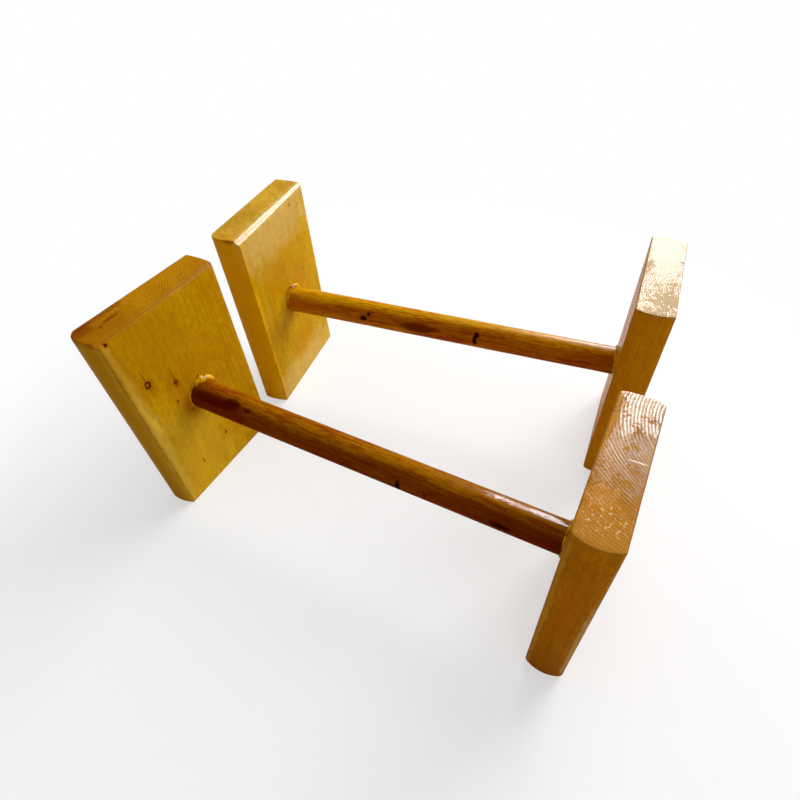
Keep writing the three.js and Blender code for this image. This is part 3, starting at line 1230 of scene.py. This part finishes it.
@dataclass(frozen=True)
class Glue:
    """The finish of the bead: clear amber glue under varnish, with dust caught in it."""

    name: str = "varnished_glue"
    clear: Colour = (0.60, 0.32, 0.006)
    dark: Colour = (0.26, 0.08, 0.002)
    clouds: Grain = Grain((0.2, 0.2, 0.2), 3.0, 4.0)
    dust: Grain = Grain((1.3, 1.3, 1.3), 2.0, 6.0)
    cloud_fade: Fade = (0.4, 0.65)
    dust_fade: Fade = (0.62, 0.72)
    dust_strength: float = 0.6
    roughness: Span = (0.3, 0.7, 0.07, 0.16)
    cloud_relief: float = 0.2
    dust_relief: float = 0.04

    def material(self) -> bpy.types.Material:
        """Makes the material.

        Returns:
            The material.
        """
        material, graph, shader = new_material(self.name)
        local = own_frame(graph, Vector(), 0.0)
        clouds, dust = local.noise(self.clouds), local.noise(self.dust)
        colour = graph.blend(clouds.fade(*self.cloud_fade), self.clear, self.dark)
        colour = graph.blend(dust.fade(*self.dust_fade) * self.dust_strength, colour, self.dark)
        height = clouds * self.cloud_relief + dust * self.dust_relief
        finish(shader, colour, clouds.ramp(*self.roughness), height)
        return material


@dataclass(frozen=True)
class Steel:
    """The finish of the hidden screws: bright zinc with a faint yellow passivation."""

    name: str = "zinc_plated_steel"
    bright: Colour = (0.62, 0.60, 0.55)
    yellowed: Colour = (0.50, 0.44, 0.30)
    clouds: Grain = Grain((0.35, 0.35, 0.35), 4.0, 2.0)
    scratches: Grain = Grain((0.4, 5.0, 5.0), 2.0, 3.0)
    yellow_fade: Fade = (0.35, 0.7)
    roughness: Span = (0.3, 0.7, 0.22, 0.42)
    scratch_relief: float = 0.01

    def material(self) -> bpy.types.Material:
        """Makes the material.

        Returns:
            The material.
        """
        material, graph, shader = new_material(self.name)
        local = own_frame(graph, Vector(), 0.0)
        clouds, scratches = local.noise(self.clouds), local.noise(self.scratches)
        colour = graph.blend(clouds.fade(*self.yellow_fade), self.bright, self.yellowed)
        rough = scratches.ramp(*self.roughness)
        finish(shader, colour, rough, scratches * self.scratch_relief, metallic=1.0)
        return material


def new_material(name: str) -> tuple[bpy.types.Material, Graph, bpy.types.Node]:
    """Opens a material with an empty Principled shader.

    Args:
        name: The material's name.

    Returns:
        The material, its graph and its shader node.
    """
    material = bpy.data.materials.new(name)
    material.use_nodes = True
    return material, Graph(material.node_tree), material.node_tree.nodes["Principled BSDF"]


def own_frame(graph: Graph, place: Vector, turn: float) -> Signal:
    """Finds the point in a piece's own frame, in millimetres.

    Args:
        graph: The graph that gets the nodes.
        place: The piece's own origin.
        turn: The turn of its own frame about Z.

    Returns:
        The point.
    """
    inputs = {"Location": tuple(place), "Rotation": (0.0, 0.0, turn), "Scale": (MM, MM, MM)}
    inputs["Vector"] = graph.add("ShaderNodeTexCoord", {}, {}, "Object")
    return graph.add("ShaderNodeMapping", {"vector_type": "TEXTURE"}, inputs)


def finish(
    shader: bpy.types.Node,
    colour: Signal,
    rough: Signal,
    height: Signal,
    metallic: float = 0.0,
    sheen: float = SHEEN,
    coat: Signal | None = None,
    coat_roughness: float = COAT_ROUGHNESS,
) -> None:
    """Connects a finish to its shader.

    Args:
        shader: The material's Principled node.
        colour: The base colour.
        rough: The roughness.
        height: The relief in millimetres.
        metallic: 1 for metal.
        sheen: How strongly the surface mirrors light.
        coat: The weight of the clear coat, or None.
        coat_roughness: The clear coat's roughness.
    """
    graph = colour.graph
    bump = graph.add("ShaderNodeBump", {}, {"Strength": 1.0, "Distance": MM, "Height": height})
    inputs = {"Base Color": colour, "Roughness": rough, "Normal": bump, "Metallic": metallic}
    inputs["Specular IOR Level"] = sheen
    if coat is not None:
        inputs.update({"Coat Weight": coat, "Coat Roughness": coat_roughness})
    for name, value in inputs.items():
        graph.feed(shader.inputs[name], value)


NEAR_LEFT_PINE = Pine(
    name="pine_near_left",
    growth=Growth(78.0, -42.0, -0.03, 0.01, 2.3, 1.3),
    light=(0.53, 0.29, 0.002),
    dark=(0.32, 0.11, 0.001),
    end_light=(0.52, 0.24, 0.002),
    end_dark=(0.28, 0.08, 0.001),
    end_ridge=(0.28, 0.08, 0.001),
    ring_strength=1.0,
    calm_middle=-12.0,
    calm_reach=52.0,
    sheen=0.003,
    knots=(
        Knot(-45.4, 166.6, 3.4, ring=True, tail=24.0),
        Knot(-19.6, 147.9, 2.2, ring=True, tail=26.0),
        Knot(-19.9, 143.4, 0.8),
        Knot(-59.2, 225.1, 1.3),
        Knot(3.8, 135.2, 0.9),
        Knot(4.2, 127.4, 1.0),
        Knot(-26.8, 127.8, 0.9),
        Knot(6.5, 45.0, 1.2, tail=8.0),
        Knot(-32.0, 36.0, 0.7, tail=9.0),
        Knot(-16.4, 105.5, 0.7),
    ),
    stains_and_painted_light=(
        # Painted haze and light low on the inner face, where the varnish mirrors the pale floor.
        StainOrPaintedLight((0.0, -46.0, 40.0), (12.0, 70.0, 90.0), PAINTED_HAZE, 0.35),
        StainOrPaintedLight((0.0, -68.0, 110.0), (8.0, 14.0, 150.0), (0.74, 0.52, 0.08), 0.4),
        StainOrPaintedLight((0.0, -14.0, 110.0), (8.0, 12.0, 16.0), (0.40, 0.10, 0.001), 0.7),
        StainOrPaintedLight((0.0, -24.0, 134.0), (8.0, 10.0, 22.0), (0.40, 0.10, 0.001), 0.35),
        StainOrPaintedLight((0.0, 10.0, 150.0), (8.0, 26.0, 30.0), ORANGE, 0.25),
        StainOrPaintedLight((0.0, -25.0, 200.0), (8.0, 46.0, 40.0), (0.34, 0.15, 0.001), 0.5),
        StainOrPaintedLight((0.0, -44.0, 158.0), (8.0, 4.0, 7.0), RUSSET, 0.2, grain=1.5),
        StainOrPaintedLight((18.0, -70.0, 115.0), (40.0, 9.0, 220.0), (0.38, 0.16, 0.001), 0.75),
        StainOrPaintedLight((16.8, -47.5, TOP), (3.0, 2.6, 5.0), RUSSET, 0.95, grain=1.5),
        StainOrPaintedLight((10.0, -50.0, TOP), (26.0, 34.0, 6.0), (0.28, 0.09, 0.001), 0.6),
        StainOrPaintedLight((25.0, -58.0, TOP), (8.0, 14.0, 8.0), RUSSET, 0.6),
        StainOrPaintedLight((18.5, -36.0, TOP), (1.8, 10.0, 3.0), RUSSET, 0.7),
        StainOrPaintedLight((30.0, -38.0, TOP), (4.0, 26.0, 4.0), RUSSET, 0.5),
        # Painted shade: a dark line along the rounded outer edge of the top.
        StainOrPaintedLight((34.5, 10.0, 229.0), (2.5, 80.0, 4.0), RUSSET, 0.8),
        StainOrPaintedLight((0.0, 0.0, TOP), (6.0, 190.0, 5.0), (0.30, 0.12, 0.001), 0.8),
    ),
)
NEAR_RIGHT_PINE = Pine(
    name="pine_near_right",
    growth=Growth(68.0, 54.0, 0.015, 0.0, 2.5, 5.1),
    light=(0.43, 0.16, 0.001),
    dark=(0.26, 0.065, 0.0008),
    end_light=(0.37, 0.145, 0.004),
    end_dark=(0.28, 0.09, 0.001),
    end_ridge=(0.58, 0.33, 0.12),
    end_roughness=0.2,
    sheen=0.0015,
    valley_coat=0.07,
    stains_and_painted_light=(
        StainOrPaintedLight((18.0, -60.0, TOP), (30.0, 26.0, 2.5), (0.42, 0.18, 0.015), 0.8, dullness=0.1),
        # Orange patches on the near part of the top, speckled with painted glints.
        StainOrPaintedLight((12.0, -33.0, TOP), (14.0, 14.0, 2.5), ORANGE, 0.9, dullness=0.3, flecks=0.3, grain=1.8),
        StainOrPaintedLight((17.0, -46.0, TOP), (20.0, 13.0, 2.5), ORANGE, 0.4, dullness=0.1, flecks=0.6),
        # Painted glare on the far, glossy part of the top end.
        StainOrPaintedLight((10.0, 16.0, TOP), (14.0, 54.0, 2.5), PAINTED_GLARE, 0.1, grain=5.0, gloss=0.2),
        StainOrPaintedLight((30.0, 20.0, TOP), (15.0, 44.0, 2.5), (0.32, 0.17, 0.06), 0.5, grain=2.0, gloss=0.15),
        StainOrPaintedLight((26.0, 62.0, TOP), (27.0, 32.0, 2.5), (0.34, 0.19, 0.07), 0.6, grain=3.0, gloss=1.0),
        # A scratch, painted as the white highlight that it catches.
        StainOrPaintedLight((26.5, 4.6, TOP), (6.0, 0.6, 2.0), PAINTED_GLARE, 0.9),
        StainOrPaintedLight((30.4, 45.6, TOP), (4.0, 3.0, 4.0), RUSSET, 0.4),
        StainOrPaintedLight((2.0, 36.0, TOP), (4.5, 30.0, 6.0), AMBER, 0.8, dullness=0.3, grain=3.0, gloss=0.0),
        # Painted shade: the near side darker towards the floor.
        StainOrPaintedLight((17.0, -70.0, 20.0), (30.0, 12.0, 60.0), (0.26, 0.062, 0.0008), 0.5),
        StainOrPaintedLight((17.0, -70.0, 140.0), (7.0, 12.0, 60.0), (0.39, 0.10, 0.0008), 0.55),
        # Painted sheen: a lighter strip along the near side's inner edge, and a whitish one along its outer
        # edge.
        StainOrPaintedLight((2.0, -70.0, 120.0), (3.0, 9.0, 200.0), (0.50, 0.23, 0.02), 0.5),
        StainOrPaintedLight((33.0, -64.0, 75.0), (3.5, 9.0, 90.0), (0.50, 0.33, 0.10), 0.5),
    ),
)
FAR_LEFT_PINE = Pine(
    name="pine_far_left",
    growth=Growth(-230.0, 300.0, 0.01, 0.0, 2.3, 8.6),
    light=(0.55, 0.335, 0.004),
    dark=(0.32, 0.11, 0.001),
    end_light=(0.72, 0.44, 0.035),
    end_dark=(0.30, 0.11, 0.001),
    end_ridge=(0.26, 0.09, 0.001),
    ring_strength=1.2,
    calm_middle=18.0,
    calm_reach=72.0,
    sheen=0.008,
    knots=(Knot(34.8, 136.9, 0.9),),
    stains_and_painted_light=(
        # Painted reflection of the pale floor, as haze high and low on the inner face.
        StainOrPaintedLight((0.0, 0.0, 228.0), (10.0, 110.0, 50.0), PAINTED_FLOOR_HAZE, 0.45),
        StainOrPaintedLight((0.0, 0.0, 0.0), (10.0, 110.0, 42.0), PAINTED_FLOOR_HAZE, 0.45),
        StainOrPaintedLight((0.0, 35.2, 218.8), (8.0, 3.0, 2.4), (0.30, 0.09, 0.001), 0.6),
        StainOrPaintedLight((0.0, 51.6, 212.0), (8.0, 2.4, 2.0), (0.30, 0.09, 0.001), 0.5),
        StainOrPaintedLight((0.0, -22.0, 156.0), (8.0, 22.0, 20.0), ORANGE, 0.6),
        StainOrPaintedLight((0.0, 4.0, 172.0), (8.0, 30.0, 16.0), ORANGE, 0.4),
        StainOrPaintedLight((0.0, -2.0, 52.0), (8.0, 30.0, 22.0), ORANGE, 0.55),
        StainOrPaintedLight((0.0, -4.0, 112.0), (8.0, 26.0, 22.0), ORANGE, 0.5),
        StainOrPaintedLight((0.0, 30.0, 120.0), (8.0, 18.0, 40.0), ORANGE, 0.4),
        StainOrPaintedLight((17.0, -70.0, 115.0), (40.0, 9.0, 220.0), (0.74, 0.35, 0.001), 0.75),
        StainOrPaintedLight((10.0, -69.0, 231.0), (10.0, 3.0, 5.0), RUSSET, 0.6),
        # Painted glare along the planed top edge, over a clear coat.
        StainOrPaintedLight((0.0, 0.0, 229.0), (6.0, 160.0, 6.0), PAINTED_GLARE, 0.15, grain=1.6, gloss=0.15),
    ),
)
FAR_RIGHT_PINE = Pine(
    name="pine_far_right",
    growth=Growth(60.0, -20.0, 0.012, 0.0, 2.4, 11.4),
    light=(0.50, 0.20, 0.002),
    dark=(0.35, 0.10, 0.001),
    end_light=(0.47, 0.27, 0.05),
    end_dark=(0.30, 0.12, 0.004),
    end_ridge=(0.62, 0.44, 0.18),
    end_roughness=0.16,
    sheen=0.004,
    end_coat=0.25,
    stains_and_painted_light=(
        StainOrPaintedLight((28.0, -40.0, TOP), (21.0, 33.0, 2.5), TAN, 0.8, dullness=0.4, grain=5.0, gloss=0.0),
        StainOrPaintedLight((4.0, 9.0, TOP), (5.0, 14.0, 2.5), DULL_TAN, 0.8, dullness=0.4, grain=4.0, gloss=0.0),
        StainOrPaintedLight((32.0, 25.6, TOP), (3.0, 2.0, 4.0), RUSSET, 0.9),
    ),
)
NEAR_BAR_WOOD = StainedWood(
    name="stained_wood_near",
    seed=3.7,
    golden=(0.30, 0.112, 0.0008),
    brown=(0.20, 0.047, 0.0006),
    deep=(0.135, 0.011, 0.0004),
    marks=(
        Mark(-165.0, 42.0, 30.0, 6.0, 0.75, (0.07, 0.002, 0.0003)),
        Mark(-143.0, 28.0, 9.0, 5.0, 0.85, BURNT),
        Mark(-125.0, 32.0, 6.0, 2.4, 0.8, BURNT),
        Mark(43.0, 88.0, 2.8, 7.0),
        Mark(150.0, 62.0, 55.0, 10.0, 0.35, (0.09, 0.004, 0.0003)),
        Mark(140.0, 80.0, 11.0, 3.6, 0.9),
        Mark(70.0, 79.0, 2.0, 1.4, 0.8),
    ),
    deep_left=0.5,
    sheen=0.001,
    gleam=1.0,
)
FAR_BAR_WOOD = StainedWood(
    name="stained_wood_far",
    seed=7.2,
    golden=(0.54, 0.26, 0.001),
    brown=(0.42, 0.13, 0.0008),
    deep=(0.23, 0.022, 0.0005),
    marks=(
        Mark(-95.0, 78.0, 5.0, 3.2),
        Mark(-89.0, 55.0, 2.2, 2.4),
        Mark(-29.0, 74.0, 19.0, 6.0, 0.85, (0.10, 0.006, 0.0004)),
        Mark(-8.0, 70.0, 7.0, 2.6, 0.75, (0.12, 0.008, 0.0004)),
        Mark(41.0, 55.0, 3.4, 3.6),
        Mark(39.5, 84.0, 2.8, 5.6),
        Mark(-180.0, 70.0, 30.0, 8.0, 0.5, (0.40, 0.05, 0.0004)),
    ),
    deep_left=-0.5,
    sheen=0.004,
    gleam=0.14,
)


@dataclass(frozen=True)
class NarrowSide:
    """How one narrow side of a board was worked. All sizes are millimetres.

    Its corners are drawn in by the crown, the whole side by the trim, and the outer face by the thinning.
    """

    crown: float
    chamfer: float = 0.0
    trim: float = 0.0
    thin: float = 0.0
    inner_corner: float = 3.0
    outer_corner: float = 3.0


@dataclass(frozen=True)
class BoardLook:
    """What tells one board from another.

    Its depths are millimetres, its skew is in radians, and the bead's lobe is an angle in degrees from
    the top and a size.
    """

    side: Side
    pine: Pine
    near: NarrowSide
    far: NarrowSide
    skew: float = 0.0
    bead_lobe: tuple[float, float] = (0.0, 0.3)
    notch_depth: float = 0.0
    ring_relief: float = 0.08

    def sizes(self) -> dict[str, float]:
        """Gathers what the recipes of board and bead take from this look.

        Returns:
            The sizes by the names of the recipes' inputs.
        """
        named = {
            "Notch Depth": self.notch_depth * MM,
            "Ring Relief": self.ring_relief * MM,
            "Skew": math.tan(self.skew),
            "Lobe Angle": math.radians(self.bead_lobe[0]) * self.side.value,
            "Lobe Size": self.bead_lobe[1],
            **self.pine.growth.values(self.side.value),
        }
        low, high = (self.near, self.far) if self.side is Side.RIGHT else (self.far, self.near)
        for label in SIDE_SIZES:
            field = label.lower().replace(" ", "_")
            named[f"{label} Low"] = getattr(low, field) * MM
            named[f"{label} High"] = getattr(high, field) * MM
        return named


class Workshop:
    """The recipes that all pieces are cast from, and the finishes that they share."""

    def __init__(self) -> None:
        """Builds every recipe and shared finish once."""
        self.board = BoardRecipe()
        self.bar = BarRecipe()
        self.bead = BeadRecipe()
        self.plug = PlugRecipe()
        self.glue = Glue().material()
        self.steel = Steel().material()


@dataclass
class Stand:
    """One push-up stand: two boards, the bar between them, and what holds them together.

    Sizes are read from the near stand's boxes in the frame, because it stands square to them.
    """

    name: str
    turn: float
    looks: tuple[BoardLook, BoardLook]
    bar_wood: StainedWood
    nodes: Mapping[str, bpy.types.Object]
    workshop: Workshop
    socket_depth: float = 18.0 * MM
    plug_radius: float = 5.95 * MM
    plug_depth: float = 5.9 * MM
    screw_radius: float = 2.2 * MM
    bore_radius: float = 2.9 * MM
    bore_depth: float = 34.0 * MM
    bead_along: float = 2.1 * MM
    bead_over: float = 1.8 * MM

    def __post_init__(self) -> None:
        """Reads the common sizes and this stand's place from the frame."""
        low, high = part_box("near_right_board")
        bar_low, bar_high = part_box("near_grip_bar")
        own_low, own_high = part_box(f"{self.name}_grip_bar")
        thickness, width, height = high - low
        self.clear_span = low.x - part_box("near_left_board")[1].x
        self.bar_radius = (bar_high.z - bar_low.z) / 2
        self.axis_height = (bar_high.z + bar_low.z) / 2
        self.centre = Vector(((own_low.x + own_high.x) / 2, (own_low.y + own_high.y) / 2, 0.0))
        self.sizes = {
            "Thickness": thickness,
            "Width": width,
            "Height": height,
            "Length": bar_high.x - bar_low.x,
            "Bar Radius": self.bar_radius,
            "Axis Height": self.axis_height,
            "Socket Depth": self.socket_depth,
            "Plug Radius": self.plug_radius,
            "Plug Depth": self.plug_depth,
            "Screw Radius": self.screw_radius,
            "Bore Radius": self.bore_radius,
            "Bore Depth": self.bore_depth,
            "Along Bar": self.bead_along,
            "Over Board": self.bead_over,
        }

    def build(self) -> None:
        """Casts, dresses and attaches every piece of the stand."""
        place = self.centre + Vector((0.0, 0.0, self.axis_height))
        wood = self.bar_wood.material(place, self.turn, self.bar_radius)
        values = {"Place": tuple(place), "Turn": self.turn, "seed": self.bar_wood.seed, "Finish": wood}
        self._attach(self.workshop.bar, values, "grip_bar_wood", "grip_bar")
        for look in self.looks:
            self._build_end(look)

    def _attach(
        self, recipe: Recipe, values: Mapping[str, object], piece: str, node: str
    ) -> None:
        """Casts a piece that stands for its CAD node and rides with the stand.

        Args:
            recipe: The piece's recipe.
            values: What it takes besides the stand's sizes.
            piece: The piece's name without the stand's.
            node: The name of the node that it replaces, without the stand's.
        """
        cast = recipe.cast(f"{self.name}_{piece}", {**self.sizes, **values})
        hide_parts(f"{self.name}_{node}")
        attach(cast, f"{self.name}_stand")
        LOG.info("%s: %d faces, for %s_%s", cast.name, len(cast.data.polygons), self.name, node)

    def _build_end(self, look: BoardLook) -> None:
        """Makes a board with its bead and plug, and dresses its screw.

        Args:
            look: What is particular to this board.
        """
        shop, side = self.workshop, look.side
        end = side.name.lower()
        inner_face = Vector((side.value * self.clear_span / 2, 0.0, 0.0))
        place = self.centre + Matrix.Rotation(self.turn, 3, "Z") @ inner_face
        turn = self.turn + look.skew + (math.pi if side is Side.LEFT else 0.0)
        values = {**look.sizes(), "Place": tuple(place), "Turn": turn}
        values["Finish"] = look.pine.material(place, turn, side.value)
        self._attach(shop.board, values, f"{end}_board_pine", f"{end}_board")
        glued = {**values, "Finish": shop.glue}
        self._attach(shop.bead, glued, f"{end}_bead_varnish", f"{end}_glue_bead")
        self._attach(shop.plug, values, f"{end}_plug_pine", f"{end}_plug")
        screw = self.nodes[f"{self.name}_{end}_screw"]
        screw.material_slots[0].material = shop.steel
        LOG.info("%s: dressed in %s", screw.name, shop.steel.name)


@dataclass
class Studio:
    """The floor, the light and the camera. Angles are degrees."""

    floor_radius: float = 8.0
    floor_albedo: float = 0.88
    floor_roughness: float = 0.9
    fade_start: float = 0.28
    fade_end: float = 0.64
    shadow_lift: float = 0.5
    window_azimuth: float = 14.0
    window_elevation: float = 30.0
    window_distance: float = 2.6
    window_raise: float = 0.15
    window_width: float = 2.0
    window_height: float = 2.2
    window_radiance: float = 6.7
    glare_radiance: float = 260.0
    room_front: float = 0.38
    room_back: float = 0.7
    room_turn: float = 0.6
    room_reach: float = 0.8
    eye: tuple[float, float, float] = (0.2047, -0.3576, 0.5155)
    eye_angles: tuple[float, float, float] = (42.186, -0.196, 25.324)
    lens: float = 24.247
    shift: tuple[float, float] = (-0.0552, 0.0106)
    clip_start: float = 0.02

    def build(self) -> None:
        """Sets up the whole studio."""
        scene = bpy.context.scene
        scene.view_settings.view_transform = "Standard"
        self._camera(scene)
        self._window(scene)
        self._world(scene)
        self._floor(scene)

    def _camera(self, scene: bpy.types.Scene) -> None:
        """Puts the camera where the photograph was taken from.

        Args:
            scene: The scene that gets it.
        """
        data = bpy.data.cameras.new("camera")
        data.lens = self.lens
        data.shift_x, data.shift_y = self.shift
        data.clip_start = self.clip_start
        camera = bpy.data.objects.new("camera", data)
        camera.location = self.eye
        camera.rotation_euler = Euler([math.radians(angle) for angle in self.eye_angles])
        scene.collection.objects.link(camera)
        scene.camera = camera
        LOG.info("camera at %s", self.eye)

    def _window(self, scene: bpy.types.Scene) -> None:
        """Hangs one large soft light behind the stands, like a window, and its glare on varnish.

        Args:
            scene: The scene that gets them.
        """
        azimuth, elevation = math.radians(self.window_azimuth), math.radians(self.window_elevation)
        level = math.cos(elevation)
        away = Vector((math.sin(azimuth) * level, math.cos(azimuth) * level, math.sin(elevation)))
        for name, radiance in (("window", self.window_radiance), ("glare", self.glare_radiance)):
            light = bpy.data.lights.new(name, "AREA")
            light.shape = "RECTANGLE"
            light.size, light.size_y = self.window_width, self.window_height
            light.energy = radiance * math.pi * self.window_width * self.window_height
            lamp = bpy.data.objects.new(name, light)
            lamp.location = away * self.window_distance + Vector((0.0, 0.0, self.window_raise))
            lamp.rotation_euler = away.to_track_quat("Z", "Y").to_euler()
            lamp.visible_diffuse = name == "window"
            scene.collection.objects.link(lamp)
            LOG.info("%s: %.0f W", name, light.energy)

    @staticmethod
    def _seen(graph: Graph) -> tuple[Signal, Signal]:
        """Tells apart the rays that show a background.

        Args:
            graph: The graph that gets the nodes.

        Returns:
            1 for camera rays, and 1 for camera, glossy and transmission rays.
        """
        camera = graph.add("ShaderNodeLightPath", {}, {}, "Is Camera Ray")
        seen = camera
        for label in ("Is Glossy Ray", "Is Transmission Ray"):
            seen = seen.call("MAXIMUM", Signal(graph, camera.socket.node.outputs[label]))
        return camera, seen

    def _world(self, scene: bpy.types.Scene) -> None:
        """Fills the room with plain pale light.

        Args:
            scene: The scene that gets it.
        """
        world = bpy.data.worlds.new("room")
        world.use_nodes = True
        graph = Graph(world.node_tree)
        towards = graph.add("ShaderNodeTexCoord", {}, {}, "Generated").parts
        depth = towards[1] + towards[0] * self.room_turn
        light = depth.ramp(-self.room_reach, self.room_reach, self.room_front, self.room_back)
        background = world.node_tree.nodes["Background"]
        background.inputs["Color"].default_value = (1.0, 1.0, 1.0, 1.0)
        graph.feed(background.inputs["Strength"], light + (1.0 - light) * self._seen(graph)[1])
        scene.world = world

    def _floor(self, scene: bpy.types.Scene) -> None:
        """Lays a pale floor that keeps the shadow and turns plain white further out.

        Args:
            scene: The scene that gets it.
        """
        material, graph, shader = new_material("pale_floor")
        shader.inputs["Base Color"].default_value = (*[self.floor_albedo] * 3, 1.0)
        shader.inputs["Roughness"].default_value = self.floor_roughness
        shader.inputs["Specular IOR Level"].default_value = 0.0
        x, y, _ = graph.add("ShaderNodeTexCoord", {}, {}, "Object").parts
        camera, seen = self._seen(graph)
        far = x.hypot(y).fade(self.fade_start, self.fade_end) * seen
        far = far.call("MAXIMUM", camera * self.shadow_lift)
        white = graph.add("ShaderNodeEmission", {}, {"Color": (1.0, 1.0, 1.0, 1.0), "Strength": 1.0})
        mixed = graph.add("ShaderNodeMixShader", {}, {0: far, 1: Signal(graph, shader.outputs[0]), 2: white})
        graph.feed(material.node_tree.nodes["Material Output"].inputs["Surface"], mixed)
        mesh = bpy.data.meshes.new("floor")
        reach = self.floor_radius
        corners = [(-reach, -reach, 0.0), (reach, -reach, 0.0), (reach, reach, 0.0), (-reach, reach, 0.0)]
        mesh.from_pydata(corners, [], [(0, 1, 2, 3)])
        mesh.materials.append(material)
        floor = bpy.data.objects.new("floor", mesh)
        scene.collection.objects.link(floor)


NEAR_LOOKS = (
    BoardLook(
        Side.LEFT,
        NEAR_LEFT_PINE,
        near=NarrowSide(crown=3.5, chamfer=4.5, thin=1.0, inner_corner=2.5, outer_corner=9.0),
        far=NarrowSide(crown=1.2, chamfer=4.0, thin=3.0, inner_corner=2.0, outer_corner=1.5),
        bead_lobe=(40.0, 2.0),
    ),
    BoardLook(
        Side.RIGHT,
        NEAR_RIGHT_PINE,
        near=NarrowSide(crown=4.5),
        far=NarrowSide(crown=2.5, outer_corner=4.0),
        ring_relief=0.035,
    ),
)
FAR_LOOKS = (
    BoardLook(
        Side.LEFT,
        FAR_LEFT_PINE,
        near=NarrowSide(crown=1.8, chamfer=5.0, inner_corner=1.5, outer_corner=10.0),
        far=NarrowSide(crown=0.8, chamfer=2.4, thin=2.5, inner_corner=1.5, outer_corner=1.5),
        bead_lobe=(20.0, 1.4),
        notch_depth=0.25,
    ),
    BoardLook(
        Side.RIGHT,
        FAR_RIGHT_PINE,
        near=NarrowSide(crown=3.0, trim=2.5),
        far=NarrowSide(crown=2.5),
        skew=math.radians(-4.5),
        ring_relief=0.035,
    ),
)
FAR_TURN = math.radians(8.7)


def main() -> None:
    """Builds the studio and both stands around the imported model."""
    logging.basicConfig(level=logging.INFO, format="%(name)s: %(message)s")
    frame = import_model()
    Studio().build()
    workshop = Workshop()
    Stand("near", 0.0, NEAR_LOOKS, NEAR_BAR_WOOD, frame["nodes"], workshop).build()
    Stand("far", FAR_TURN, FAR_LOOKS, FAR_BAR_WOOD, frame["nodes"], workshop).build()


if __name__ == "__main__":
    main()
